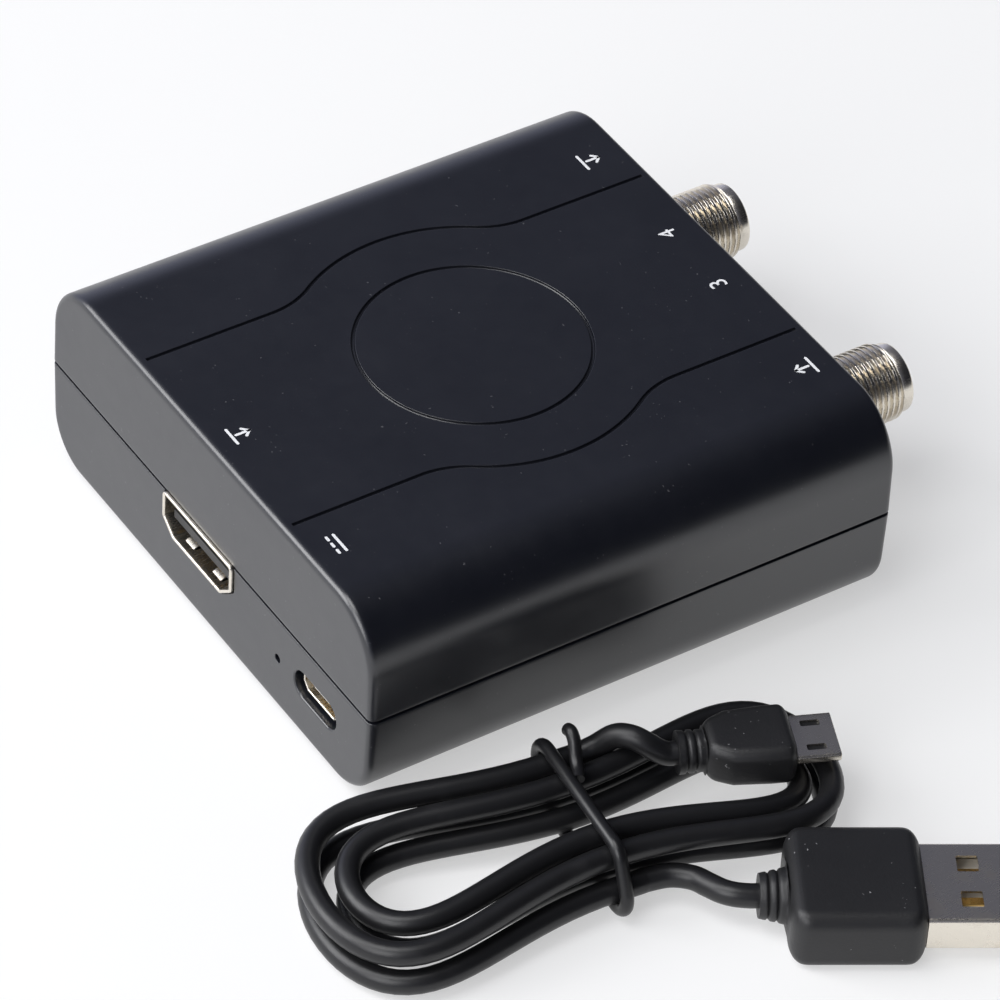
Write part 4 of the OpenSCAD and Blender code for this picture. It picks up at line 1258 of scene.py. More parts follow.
    def cover_form(self, cover: Cover) -> Surface:
        """Closed form of a cover: outer skin, rim with its rebate or lip, and inner skin.

        Args:
            cover: the cover.

        Returns:
            The closed surface.
        """
        way = cover.value
        edge = self.split + way * self.gap / 2
        q, s = self.rim_r, self.support
        a = quarter(self.rim_steps)
        drawn, height = q * (1 - np.cos(a)), edge + way * q * (1 - np.sin(a))
        outer = [(0.0, self.edge_r, edge + way * (q + s))]
        outer += [(d, self.edge_r - d, z) for d, z in zip(drawn, height)]
        if cover is Cover.TOP:
            step = edge + self.lip_h + self.web_gap
            start = step + s
            inner = [(self.rebate, edge), (self.rebate, step), (self.wall, step), (self.wall, start)]
        else:
            step = edge + self.gap + self.lip_h
            start = edge - self.wall
            inner = [(self.wall - self.lip_t, edge), (self.wall - self.lip_t, step)]
            inner += [(self.wall, step), (self.wall, start)]
        levels = [(0.0, self.edge_r, start)] + outer + [(d, self.inner_r, z) for d, z in inner]
        made = Surface().grid(self.rim(levels), wrap=(False, True))
        for inset, r in ((0.0, self.edge_r), (self.wall, self.inner_r)):
            skin = self.skin(cover, inset, r, start)
            made.grid(skin).lid(skin[0]).lid(skin[-1])
        return made

    def at_posts(self, profile: Points, sides: int = 40) -> list[Surface]:
        """Round solids at the four posts.

        Args:
            profile: radius and height pairs, from one end to the other.
            sides: points of each ring.

        Returns:
            One closed surface for each post.
        """
        return [Surface().loft(lathe(profile, sides, (x, y, 0), upright=True)) for x, y in self.posts]

    def panel_line(self) -> Array:
        """Engraved line on the right of the lid's middle panel: straight, then a blend that is
        tangent to it and to the bulge round the ring, and the same way back.

        Returns:
            The line's points, with the lid's middle at the origin.
        """
        blend_x = self.panel_half + self.blend_r
        blend_y = math.sqrt((self.bulge_r + self.blend_r) ** 2 - blend_x**2)
        lean = math.atan2(blend_y, blend_x)
        half = self.depth / 2 - self.groove_end
        sweep = np.linspace(0, lean, self.blend_steps + 1)
        bulge = np.linspace(-lean, lean, self.bulge_steps + 1)[1:-1]
        low = (blend_x, -blend_y) + self.blend_r * unit(sweep) * (-1, 1)
        middle = self.bulge_r * unit(bulge)
        ends = np.array([[self.panel_half, -half], [self.panel_half, half]])
        return np.vstack([ends[:1], low, middle, low[::-1] * (1, -1), ends[1:]])

    def groove(self, line: Array, closed: bool) -> Surface:
        """Cutter of an engraved line with a round bottom and soft edges.

        The groove's cross-section is carried along the line on its mitred normals.

        Args:
            line: the line, with the lid's middle at the origin.
            closed: whether the line runs back into its start.

        Returns:
            The closed cutter.
        """
        step = np.diff(line, axis=0, append=line[:1] if closed else 2 * line[-1:] - line[-2:-1])
        step /= np.linalg.norm(step, axis=1, keepdims=True)
        back = np.roll(step, 1, axis=0)
        back[0] = back[0] if closed else step[0]
        way = back + step
        mitre = np.stack([way[:, 1], -way[:, 0]], axis=-1) * (2 / (way**2).sum(1))[:, None]
        half, f, deep = self.groove_w / 2, self.groove_flare, self.groove_deep
        a = quarter(SOFT_STEPS)
        lip_x, lip_z = half + f * (1 - np.sin(a)), -f * (1 - np.cos(a))
        bottom_x, bottom_z = half * np.cos(a), -(deep - half) - half * np.sin(a)
        x = np.concatenate([[half + f], lip_x, bottom_x])
        z = np.concatenate([[self.groove_above], lip_z, bottom_z])
        x, z = np.concatenate([x, -x[-2::-1]]), np.concatenate([z, z[-2::-1]])
        plan = line[:, None] + mitre[:, None] * x[None, :, None] + (0, self.depth / 2)
        height = np.broadcast_to(self.top + z, plan.shape[:2])[..., None]
        rings = np.concatenate([plan, height], axis=-1)
        return Surface().grid(rings, wrap=(True, True)) if closed else Surface().loft(rings)

    def ports(self) -> list[Port]:
        """Openings of the video socket, the power socket, the status light and the switch.

        Returns:
            The openings.
        """
        slot = partial(plate, self.slot_w, self.slot_h, self.slot_r, 8)
        led = partial(plate, self.led_d, self.led_d, self.led_r, 6)
        window = partial(plate, self.window_w, self.window_h, self.window_r, 4)
        return [
            Port(lambda grow: VIDEO_MOUTH.grown(self.video_gap + grow), *VIDEO_AT, self.video_flare),
            Port(slot, POWER_AT[0], self.slot_z, self.slot_flare),
            Port(led, self.led_x, self.led_z, self.led_flare),
            Port(window, *SWITCH_AT, self.back_flare, back=True),
        ]

    def aerial_ports(self) -> list[Port]:
        """Gives the holes of the two aerial sockets."""
        hole = partial(round_hole, self.aerial_hole)
        return [Port(hole, x, AERIAL_Z, self.back_flare, back=True) for x in AERIAL_XS]

    def cutters(self, ports: list[Port]) -> list[Surface]:
        """Gives the cutters of some openings, which go through the wall."""
        return [port.cutter(self.depth, self.wall + PAST) for port in ports]

    def webs(self, roof: float) -> list[Surface]:
        """Webs from the bosses to the side walls; they end in the middle of the lid's skin.

        Args:
            roof: height of the middle of the lid's flat.

        Returns:
            The closed webs.
        """
        inset = self.wall / 2
        low = self.split + self.gap / 2 + self.lip_h + self.web_gap
        x0, z0, r = self.corner(Cover.TOP)
        turn = np.linspace(math.radians(self.draft), math.pi / 2, self.web_steps + 1)
        arc = (x0, z0) + (r - inset) * unit(turn)
        start = self.post_x - PAST
        web = np.vstack([[start, low], [self.wall_x(low, inset), low], arc, [start, roof]])
        half = self.web_t / 2
        return [prism(web * (math.copysign(1, x), 1), y - half, y + half) for x, y in self.posts]

    def top_cover(self) -> None:
        """Lid: form, bosses with their webs, bores, aerial holes and engraved lines."""
        roof = self.top - self.wall / 2
        bosses = self.at_posts([(self.boss_d / 2, self.deck), (self.boss_d / 2, roof)])
        bore_r = self.boss_bore / 2
        bores = self.at_posts([(bore_r, self.deck - PAST), (bore_r, self.deck + self.boss_deep)])
        line = self.panel_line()
        ring = self.ring_r * unit(full_turn(self.ring_sides))
        grooves = [self.groove(side, False) for side in (line, line[::-1] * (-1, 1))]
        steps = [
            (Cut.ADD, bosses),
            (Cut.ADD, self.webs(roof)),
            (Cut.REMOVE, bores + self.cutters(self.aerial_ports())),
            (Cut.REMOVE, grooves + [self.groove(ring, True)]),
        ]
        form = self.cover_form(Cover.TOP)
        self.piece("lid", form, "housing_plastic", ["top_cover"], steps, sharp=self.crease)

    def bottom_cover(self) -> None:
        """Tub: form, columns, counterbores, foot pockets, openings and the notch in its lip."""
        floor = self.under + self.wall
        column_r = self.column_d / 2
        columns = self.at_posts([(column_r, floor - PAST), (column_r, floor + self.column_h)])
        pocket, head, bore = self.foot_d / 2 + self.foot_gap, self.head_bore / 2, self.column_bore / 2
        sunk = self.under + self.foot_sink
        stepped = [(pocket, 0), (pocket, sunk), (head, sunk), (head, self.seat)]
        notch = plate(self.notch_w, self.notch_h, self.notch_r) + (VIDEO_AT[0], self.notch_z)
        holes = self.at_posts(stepped + [(bore, self.seat), (bore, self.deck)])
        holes.append(prism(notch, -PAST, self.wall + PAST))
        holes += self.cutters(self.ports() + self.aerial_ports())
        steps = [(Cut.ADD, columns), (Cut.REMOVE, holes)]
        form = self.cover_form(Cover.BOTTOM)
        self.piece("tub", form, "housing_plastic", ["bottom_cover"], steps, sharp=self.crease)

    def feet(self) -> None:
        """Feet: turned pads with round rims and a shallow dish underneath."""
        r = self.foot_d / 2
        high = self.under + self.foot_sink
        dish = [(AXIS_R, self.foot_middle)] + [(r - inset, z) for inset, z in self.foot_dish]
        top = [(r, high - self.foot_edge), (r - self.foot_edge, high), (AXIS_R, high)]
        profile = np.vstack([dish, soft_rim(r, 0, self.foot_rim, 6), top])
        self.piece("feet", Surface().join(*self.at_posts(profile, 48)), "foot_rubber", ["rubber_feet"])

    def screws(self) -> None:
        """Screws: pan heads with a cross recess, and threaded shanks with blunt points."""
        screw = Screw()
        form = Surface().join(*self.at_posts(screw.profile(self.seat), 28))
        recess = [blade for x, y in self.posts for blade in screw.recess(self.seat, x, y)]
        self.piece("screws", form, "screw_steel", ["case_screws"], [(Cut.REMOVE, recess)])

    def build(self) -> None:
        """Builds the covers, the feet and the screws."""
        self.top_cover()
        self.bottom_cover()
        self.feet()
        self.screws()


@dataclass
class LidMarks(Assembly):
    """The small printed marks of the lid: channel digits, arrows and a supply symbol."""

    top: float = TOP_Z
    proud: float = 0.012
    sunk: float = 0.01
    line: float = 0.34
    round_share: float = 0.49
    arrow_h: float = 2.3
    arrow_share: float = 0.75
    barb: Pair = (0.65, 0.7)
    bar_half: float = 1.3
    bar_gap: float = 0.25
    supply_half: float = 1.4
    supply_gap: float = 0.45
    dashes: Triple = (-1.15, 0.0, 1.15)
    dash_half: float = 0.25
    digit_h: float = 3.1
    # Each arrow's middle, and whether it points to the back (1) or to the front (-1)
    arrows: tuple[Triple, ...] = ((-21.3, 65.3, 1), (22.0, 65.3, -1), (0.1, 4.4, 1))
    supply_at: Pair = (20.9, 3.9)
    digits: tuple[tuple[str, float, float], ...] = (("4", -5.5, 65.5), ("3", 4.9, 65.5))

    def stroke(self, a: Pair, b: Pair, at: Pair) -> Surface:
        """A straight printed stroke with round ends, as thick as the ink.

        Args:
            a: its start.
            b: its end.
            at: the place of the mark that it belongs to.

        Returns:
            The closed stroke.
        """
        start, end = np.array(a, float), np.array(b, float)
        way = end - start
        turn = math.atan2(way[1], way[0])
        c, s = math.cos(turn), math.sin(turn)
        level = plate(math.hypot(*way) + self.line, self.line, self.line * self.round_share)
        outline = level @ np.array([[c, s], [-s, c]]) + (start + end) / 2 + at
        return prism(outline, self.top - self.sunk, self.top + self.proud, upright=True)

    def arrow(self, x: float, y: float, way: float) -> list[Surface]:
        """An arrow beside a bar, for a signal that goes in or out.

        Args:
            x: its middle across the housing.
            y: its middle along the housing.
            way: +1 where it points to the back, -1 where it points to the front.

        Returns:
            The strokes.
        """
        half = self.arrow_h / 2
        tip = way * half * self.arrow_share
        across, along = self.barb
        beside = -way * (half + self.bar_gap)
        lines = [((0, -tip), (0, tip))]
        lines += [((0, tip), (side * across, tip - way * along)) for side in (-1, 1)]
        lines += [((-self.bar_half, beside), (self.bar_half, beside))]
        return [self.stroke(a, b, (x, y)) for a, b in lines]

    def supply(self) -> list[Surface]:
        """Gives a line over three dashes, for direct current."""
        half, gap, dash = self.supply_half, self.supply_gap, self.dash_half
        lines = [((-half, gap), (half, gap))] + [((c - dash, -gap), (c + dash, -gap)) for c in self.dashes]
        return [self.stroke(a, b, self.supply_at) for a, b in lines]

    def digit(self, text: str, x: float, y: float) -> None:
        """A digit that is read from the back.

        Args:
            text: the digit.
            x: its middle across the housing.
            y: its middle along the housing.
        """
        curve = bpy.data.curves.new(f"digit_{text}", "FONT")
        curve.body = text
        curve.size = self.digit_h * MM
        curve.extrude = self.proud * MM / 2
        curve.align_x = "CENTER"
        curve.align_y = "CENTER"
        writer = put(f"writer_{text}", curve)
        graph = bpy.context.evaluated_depsgraph_get()
        mesh = bpy.data.meshes.new_from_object(writer.evaluated_get(graph))
        bpy.data.objects.remove(writer)
        where = Vector(tuple(self.place.apply(np.array([x, y, self.top + self.proud / 2])))) * MM
        mesh.transform(Matrix.Translation(where) @ Matrix.Rotation(math.pi, 4, "Z"))
        dress(mesh, self.finishes.get("mark_ink"))
        self.register(put(f"lid_digit_{text}", mesh), "mark_ink", [])

    def build(self) -> None:
        """Prints the arrows at the sockets, the supply symbol and the channel digits."""
        made = [stroke for at in self.arrows for stroke in self.arrow(*at)] + self.supply()
        self.piece("lid_symbols", Surface().join(*made), "mark_ink")
        for text, x, y in self.digits:
            self.digit(text, x, y)


# Sockets


def sheet_shell(
    outline: Outline, mouth: float, back: float, sheet: float, closed: bool, near: float = 0.15
) -> Surface:
    """A folded sheet shell along Y with a rounded rim.

    The wall's cross-section is carried round the outline: along the outside from the back to the
    mouth, over the rim by half a circle, and back along the inside. The outline's offset is 0
    outside and minus the sheet's thickness inside.

    Args:
        outline: gives the shell's outline pushed outwards by an offset.
        mouth: where the mouth lies along Y.
        back: where the back end lies, on either side of the mouth.
        sheet: the sheet's thickness.
        closed: whether a wall closes the back.
        near: how far behind the rim the walls get a further ring of points.

    Returns:
        The closed surface.
    """
    a = np.linspace(0, math.pi, RIM_STEPS + 1)
    half = sheet / 2
    length = abs(back - mouth)
    end = length - sheet if closed else length
    deep = np.concatenate([[length, half + near], half * (1 - np.sin(a)), [half + near, end]])
    grow = np.concatenate([[0, 0], -half * (1 - np.cos(a)), [-sheet, -sheet]])
    rings = np.stack([outline(float(g)) for g in grow])
    rings = along_y(rings, mouth + math.copysign(1, back - mouth) * deep)
    return Surface().loft(rings) if closed else Surface().grid(rings, wrap=(True, True))


@dataclass
class VideoSocket(Assembly):
    """The video socket's shell, with its spring fingers; its tongue stays the CAD's own."""

    x: float = VIDEO_AT[0]
    z: float = VIDEO_AT[1]
    mouth: float = -0.4
    length: float = 11.6
    sheet: float = 0.45
    finger_xs: Pair = (-3.0, 3.0)
    finger_w: float = 1.8
    finger_start: float = 1.0
    finger_len: float = 4.2
    finger_t: float = 0.2
    finger_lift: float = 0.55
    finger_sunk: float = 0.02
    finger_power: float = 0.8
    finger_rows: int = 15
    gap_w: float = 2.3
    gap_len: float = 4.4
    gap_r: float = 0.3
    gap_middle: float = 3.3
    seam_w: float = 0.12
    seam_r: float = 0.05
    seam_x: float = 4.1
    seam_short: float = 1.0
    seam_shift: float = 1.2
    seam_past: float = 0.02
    leg_w: float = 1.6
    leg_r: float = 0.15
    leg_low: float = 4.4
    leg_high: float = 11.2
    leg_shares: Pair = (0.36, 0.86)

    def fingers(self) -> list[Surface]:
        """Spring fingers inside the shell: leaves that bulge in from their windows.

        A leaf is a strip along the depth whose height over the wall is a half wave raised to a
        power, with the sheet's thickness below it.

        Returns:
            The closed leaves, two on the floor and two under the roof.
        """
        t = np.linspace(0, 1, self.finger_rows)
        lift = self.finger_lift * np.sin(math.pi * t) ** self.finger_power - self.finger_sunk
        y = self.mouth + self.finger_start + self.finger_len * t
        floor, roof = self.z + self.sheet, self.z + VIDEO_MOUTH.high - self.sheet
        leaves = []
        for x in self.finger_xs:
            for wall_z, way in ((floor, 1), (roof, -1)):
                face = wall_z + way * lift
                under = face - way * self.finger_t
                ring_x = self.x + x + self.finger_w / 2 * np.array([-1, 1, 1, -1])
                ring_z = np.stack([face, face, under, under], axis=-1)
                ring = np.stack(np.broadcast_arrays(ring_x, y[:, None], ring_z), axis=-1)
                leaves.append(Surface().loft(ring))
        return leaves

    def windows(self) -> list[Surface]:
        """Cutters of the fingers' windows and of the seam under the shell.

        Returns:
            The closed cutters.
        """
        gap = plate(self.gap_w, self.gap_len, self.gap_r)
        made = [
            prism(gap + (self.x + x, self.mouth + self.gap_middle), z - PAST, z + PAST, upright=True)
            for x in self.finger_xs
            for z in (self.z, self.z + VIDEO_MOUTH.high)
        ]
        seam = plate(self.seam_w, self.length - self.seam_short, self.seam_r)
        seam = seam + (self.x + self.seam_x, self.mouth + self.length / 2 - self.seam_shift)
        made.append(prism(seam, self.z - PAST, self.z + self.sheet + self.seam_past, upright=True))
        return made

    def legs(self) -> list[Surface]:
        """Gives the four soldered legs of the shell."""
        leg = plate(self.sheet, self.leg_w, self.leg_r)
        side = VIDEO_MOUTH.half - self.sheet / 2
        return [
            prism(leg + (x, self.mouth + self.length * share), self.leg_low, self.leg_high, upright=True)
            for x in (self.x - side, self.x + side)
            for share in self.leg_shares
        ]

    def build(self) -> None:
        """Builds the shell with its windows, and the fingers and legs."""
        form = sheet_shell(
            lambda grow: VIDEO_MOUTH.grown(grow) + (self.x, self.z),
            self.mouth,
            self.mouth + self.length,
            self.sheet,
            closed=True,
        )
        steps = [(Cut.REMOVE, self.windows())]
        self.piece("video_shell", form, "nickel", ["video_socket_shell"], steps)
        self.piece("video_fingers", Surface().join(*self.fingers(), *self.legs()), "nickel")


@dataclass
class PowerSocket(Assembly):
    """The power socket's shell behind its slot; its tongue stays the CAD's own."""

    x: float = POWER_AT[0]
    z: float = POWER_AT[1]
    mouth: float = 0.8
    back: float = 5.8
    sheet: float = 0.3

    def build(self) -> None:
        """Builds the shell with a rounded rim and a closed back."""
        form = sheet_shell(
            lambda grow: POWER_MOUTH.grown(grow) + (self.x, self.z),
            self.mouth,
            self.back,
            self.sheet,
            closed=True,
        )
        self.piece("power_shell", form, "nickel", ["power_socket_shell"])


@dataclass
class AerialSocket(Assembly):
    """A cast block with a threaded barrel; its insulator and contact stay the CAD's own."""

    name: str = "rf_out"
    x: float = AERIAL_XS[0]
    z: float = AERIAL_Z
    root_y: float = DEPTH
    end_y: float = 84.0
    crest_r: float = 4.75
    deep: float = 0.46
    pitch: float = 0.794
    # The thread's triangle wave is made steeper, lowered and then clipped to its crest and root
    steep: float = 2.6
    lowered: float = 0.75
    # Stretch in which the thread fades in, in pitches, where it starts, and the depth before it
    fade_in: float = 0.45
    fade_start: float = 0.1
    plain_share: float = 0.35
    lap: float = 0.02
    # Plain shank inside the block: its radius, where it starts and where it ends
    shank_r: float = 4.55
    shank_y: float = 66.0
    shank_gap: float = 0.2
    nose_r: float = 4.25
    nose_len: float = 1.6
    nose_soft: float = 0.3
    nose_side: float = 0.4
    # Foot of the nose: how far slimmer than the nose, at a distance from the thread
    nose_foot: tuple[Pair, ...] = ((0.12, 0.02), (0.0, 0.15))
    bore_r: float = 3.1
    # Mouth of the bore: how far wider than the bore, at a distance from the end
    bore_mouth: tuple[Pair, ...] = ((0.5, 0.0), (0.42, 0.04), (0.0, 0.5), (0.0, 0.9))
    sides: int = 96
    rows: int = 14
    block_w: float = 10.6
    block_d: float = 8.0
    block_r: float = 1.0
    block_y: float = 62.8
    block_low: float = 7.0
    block_high: float = 18.85
    block_soft: float = 0.4
    block_share: float = 0.8
    leg_profile: tuple[Pair, ...] = ((0.3, 4.4), (0.6, 4.7), (0.6, 7.5))
    hole_span: Pair = (57.0, 69.0)

    def barrel_form(self) -> Surface:
        """Threaded barrel: a turned profile whose radius also follows the thread.

        In the threaded stretch the radius falls from the crest by the depth times a clipped
        triangle wave of (distance along the axis - pitch * angle / full turn) / pitch, and the
        wave fades in over about half a turn at each end.

        Returns:
            The closed tube.
        """
        nose_y = self.end_y - self.nose_len
        y = np.arange(self.root_y - self.lap, nose_y, self.pitch / self.rows)
        turn = np.arange(self.sides) / self.sides
        phase = ((y[:, None] - self.root_y) / self.pitch - turn) % 1
        wave = np.clip(self.steep * np.abs(2 * phase - 1) - self.lowered, 0, 1)
        from_end = np.minimum(y - self.root_y - self.fade_start, nose_y - y)
        fade = np.clip(from_end / (self.fade_in * self.pitch), 0, 1)[:, None]
        thread = self.crest_r - self.deep * (wave * fade + (1 - fade) * self.plain_share)
        ahead = np.array(
            [
                [self.shank_r, self.shank_y],
                [self.shank_r, self.root_y - self.shank_gap],
                [self.crest_r, self.root_y - self.lap],
            ]
        )
        foot = np.array(self.nose_foot) * (-1, 1) + (self.nose_r, nose_y)
        rim = soft_rim(self.nose_r, 0, self.nose_soft, 4)[::-1] * (1, -1) + (0, self.end_y)
        mouth = np.array(self.bore_mouth) * (1, -1) + (self.bore_r, self.end_y)
        side, inner = [self.nose_r, self.end_y - self.nose_side], [self.bore_r, self.shank_y]
        behind = np.vstack([foot, side, rim, mouth, inner])
        even = np.ones(self.sides)
        radii = np.vstack([ahead[:, :1] * even, thread, behind[:, :1] * even])
        depth = np.concatenate([ahead[:, 1], y, behind[:, 1]])
        ring = radii[..., None] * unit(turn * 2 * math.pi)
        return Surface().grid(along_y(ring, depth) + (self.x, 0, self.z), wrap=(True, True))

    def block_form(self) -> Surface:
        """Cast block with rounded upright corners and a softened top, and four round legs.

        Returns:
            The closed solids.
        """
        a = quarter(SOFT_STEPS)
        drawn = np.concatenate([[0], self.block_soft * (1 - np.cos(a))])
        heights = self.block_high - self.block_soft * (1 - np.sin(a))
        wide, deep = self.block_w, self.block_d
        rings = [plate(wide - 2 * g, deep - 2 * g, self.block_r - self.block_share * g) for g in drawn]
        block = along_z(np.stack(rings) + (self.x, self.block_y), np.append(self.block_low, heights))
        legs = [
            Surface().loft(lathe(self.leg_profile, 20, (x, y, 0), upright=True))
            for x in (self.x - wide / 3, self.x + wide / 3)
            for y in (self.block_y - deep / 3, self.block_y + deep / 3)
        ]
        return Surface().loft(block).join(*legs)

    def build(self) -> None:
        """Builds the block with its bore, and the barrel that is pressed into it."""
        hole = [(self.bore_r, y) for y in self.hole_span]
        bore = Surface().loft(lathe(hole, 64, (self.x, 0, self.z)))
        block, nodes = self.block_form(), [f"{self.name}_barrel"]
        self.piece(f"{self.name}_socket", block, "nickel", nodes, [(Cut.REMOVE, [bore])])
        self.piece(f"{self.name}_thread", self.barrel_form(), "nickel", sharp=60)


@dataclass
class ChannelSwitch(Assembly):
    """The slider of the switch at the back; its folded frame and its base stay the CAD's own."""

    x: float = SWITCH_AT[0]
    z: float = SWITCH_AT[1]
    travel: float = 2.0
    finger: float = 2.0
    finger_r: float = 0.16
    finger_soft: float = 0.18
    finger_span: Pair = (65.2, 71.2)
    carriage_w: float = 3.0
    carriage_h: float = 3.5
    carriage_r: float = 0.2
    carriage_z: float = 9.6
    carriage_span: Pair = (63.35, 67.05)
    cut_xs: Triple = (-0.6, 0.0, 0.6)
    cut_ws: Pair = (0.25, 0.34)
    cut_h: float = 4.0
    cut_r: float = 0.1
    cut_span: Pair = (70.95, 71.5)

    def build(self) -> None:
        """Slider: a carriage in the frame and a finger piece with round edges and grip grooves.

        The finger piece is a loft whose outline shrinks by a quarter circle at its end.
        """
        x = self.x + self.travel / 2
        a = quarter(4)
        start, end = self.finger_span
        size = self.finger * np.append(1, 1 - self.finger_soft * (1 - np.cos(a)))
        rings = np.stack([plate(s, s, self.finger_r) for s in size]) + (x, self.z)
        depth = np.append(start, end - self.finger_soft * (1 - np.sin(a)))
        finger = Surface().loft(along_y(rings, depth))
        carriage = plate(self.carriage_w, self.carriage_h, self.carriage_r) + (x, self.carriage_z)
        slim, wide = (plate(w, self.cut_h, self.cut_r) for w in self.cut_ws)
        cuts = [
            prism(slim + (x + c, self.z), *self.cut_span, last=wide + (x + c, self.z)) for c in self.cut_xs
        ]
        steps = [(Cut.ADD, [prism(carriage, *self.carriage_span)]), (Cut.REMOVE, cuts)]
        self.piece("slider", finger, "slider_nylon", ["channel_slider"], steps, SLIDER_BODY)


# Power lead


@dataclass
class Lead(Assembly):
    """The power lead: its cable in a hank of three and a half turns, and the tie round it."""

    cable_r: float = 1.4
    cable_sides: int = 20
    waist_half: float = 8.6
    waist_step: float = 3.5
    swell: float = 17.2
    swell_step: float = 4.8
    reach: float = 32.4
    reach_step: float = 3.9
    waist_lift: float = 1.7
    layer_rise: float = 3.5
    turns: float = 3.5
    turn_steps: int = 96
    climb: Pair = (1.5, 2.0)
    tail_steps: int = 5
    tie_r: float = 0.8
    tie_gap: float = 0.1
    tie_steps: int = 12
    tie_sides: int = 16
    # Turns at which the hank's lowest and its second outermost strand pass the waist
    tied_turns: Pair = (0.0, 3.0)
    # Hook at the tie's end, with heights above the tie's top, and its radius as a share
    hook: tuple[Triple, ...] = (
        (-3.2, 0.9, 0.0), (-4.6, 1.5, 0.2), (-5.9, 1.9, 0.9), (-6.9, 2.2, 2.0), (-7.9, 2.3, 2.5),
        (-8.7, 2.3, 2.2),
    )
    hook_share: float = 0.95
    hook_steps: int = 6
    usb_route: tuple[Triple, ...] = (
        (8.6, 2.8, 3.1), (8.6, 3.8, 3.1), (9.1, 6.2, 3.2), (10.6, 8.2, 3.4), (12.5, 9.2, 3.6),
        (14.1, 10.0, 3.8), (15.2, 11.0, 3.9), (16.0, 12.3, 3.9), (16.4, 13.2, 3.9),
    )
    power_route: tuple[Triple, ...] = (
        (-8.6, 2.8, 6.6), (-8.6, 3.8, 6.6), (-8.3, 5.8, 7.4), (-7.4, 7.6, 9.1), (-6.0, 8.8, 9.8),
        (-4.8, 9.9, 9.5), (-3.9, 11.2, 8.6), (-3.5, 12.2, 8.1), (-3.2, 13.2, 8.1),
    )

    def hank(self, t: Array) -> Array:
        """Middle line of the wound cable after some turns.

        With an angle of a quarter turn plus t turns, s its sine and c its cosine, a loop is
        (half-width * s + swelling * s * c^2, reach * c): narrow at the waist and swollen in both
        lobes. All three shrink with the loops counted inwards, which go out again in the upper
        layer, and the line rises over the tie with s^2 and by the layer's step in the climb.

        Args:
            t: turns from the start.

        Returns:
            The line's points in the hank's own frame.
        """
        start, end = self.climb
        k = np.where(t < start, t, np.where(t < end, start, self.turns - t))
        a = math.pi / 2 + 2 * math.pi * t
        s, c = np.sin(a), np.cos(a)
        u = np.clip((t - start) / (end - start), 0, 1)
        half = self.waist_half - self.waist_step * k
        swell = self.swell - self.swell_step * k
        y = (self.reach - self.reach_step * k) * c
        z = self.cable_r + self.waist_lift * s * s + self.layer_rise * u * u * (3 - 2 * u)
        return np.stack([half * s + swell * s * c * c, y, z], axis=-1)

    def route(self) -> Array:
        """Middle line of the whole cable, from the large plug through the hank to the small one."""
        wound = self.hank(np.linspace(0, self.turns, int(self.turns * self.turn_steps) + 1))
        usb, power = (spline(route, self.tail_steps) for route in (self.usb_route, self.power_route))
        return np.vstack([usb[::-1], wound, power])

    def cable(self) -> tuple[bpy.types.Object, Array]:
        """Makes the cable as one tube along its route.

        Returns:
            The cable and its middle line in the part's frame, in metres.
        """
        path = self.route()
        form = Surface().loft(tube(path, self.cable_r, self.cable_sides))
        nodes = ["lead_hank", "lead_usb_tail", "lead_power_tail"]
        made = self.piece("lead_cable", form, "cable_jacket", nodes, sharp=60)
        return made, self.place.apply(path) * MM

    def tie_path(self) -> Array:
        """Closed line of the tie round the waist's four outermost strands, in the plane across
        the hank: arcs round each strand at the sum of both radii, joined by straight runs.

        Returns:
            The line's points.
        """
        low, side = self.hank(np.array(self.tied_turns))
        r = self.cable_r + self.tie_gap + self.tie_r
        lean = math.degrees(math.atan2(low[0] - side[0], side[2] - low[2]))
        middle = (low[2] + side[2]) / 2
        far_low, far_side = (-low[0], 0, 2 * middle - low[2]), (-side[0], 0, 2 * middle - side[2])
        arcs = [(low, -90, lean), (side, lean, 90), (far_low, 90, 180 + lean), (far_side, 180 + lean, 270)]
        line = []
        for centre, start, end in arcs:
            arc = unit(np.radians(np.linspace(start, end, self.tie_steps + 1))) * r
            line.append(along_y(arc + (centre[0], centre[2]), 0))
        return np.vstack(line)

    def tie(self) -> bpy.types.Object:
        """Makes the tie: a closed ring of wire, and its end bent up in a hook on the far side.

        Returns:
            The tie.
        """
        path = self.tie_path()
        way = np.roll(path, -1, axis=0) - np.roll(path, 1, axis=0)
        way /= np.linalg.norm(way, axis=1, keepdims=True)
        out = np.stack([way[:, 2], 0 * way[:, 0], -way[:, 0]], axis=-1)
        a = full_turn(self.tie_sides)[:, None]
        along = np.array([0.0, 1.0, 0.0])
        ring = path[:, None] + self.tie_r * (np.cos(a) * out[:, None] + np.sin(a) * along)
        knots = np.array(self.hook) + (0, 0, path[:, 2].max())
        hook = tube(spline(knots, self.hook_steps), self.tie_r * self.hook_share, self.tie_sides)
        form = Surface().grid(ring, wrap=(True, True)).join(Surface().loft(hook))
        return self.piece("lead_tie", form, "tie_plastic", ["hank_tie"], sharp=60)


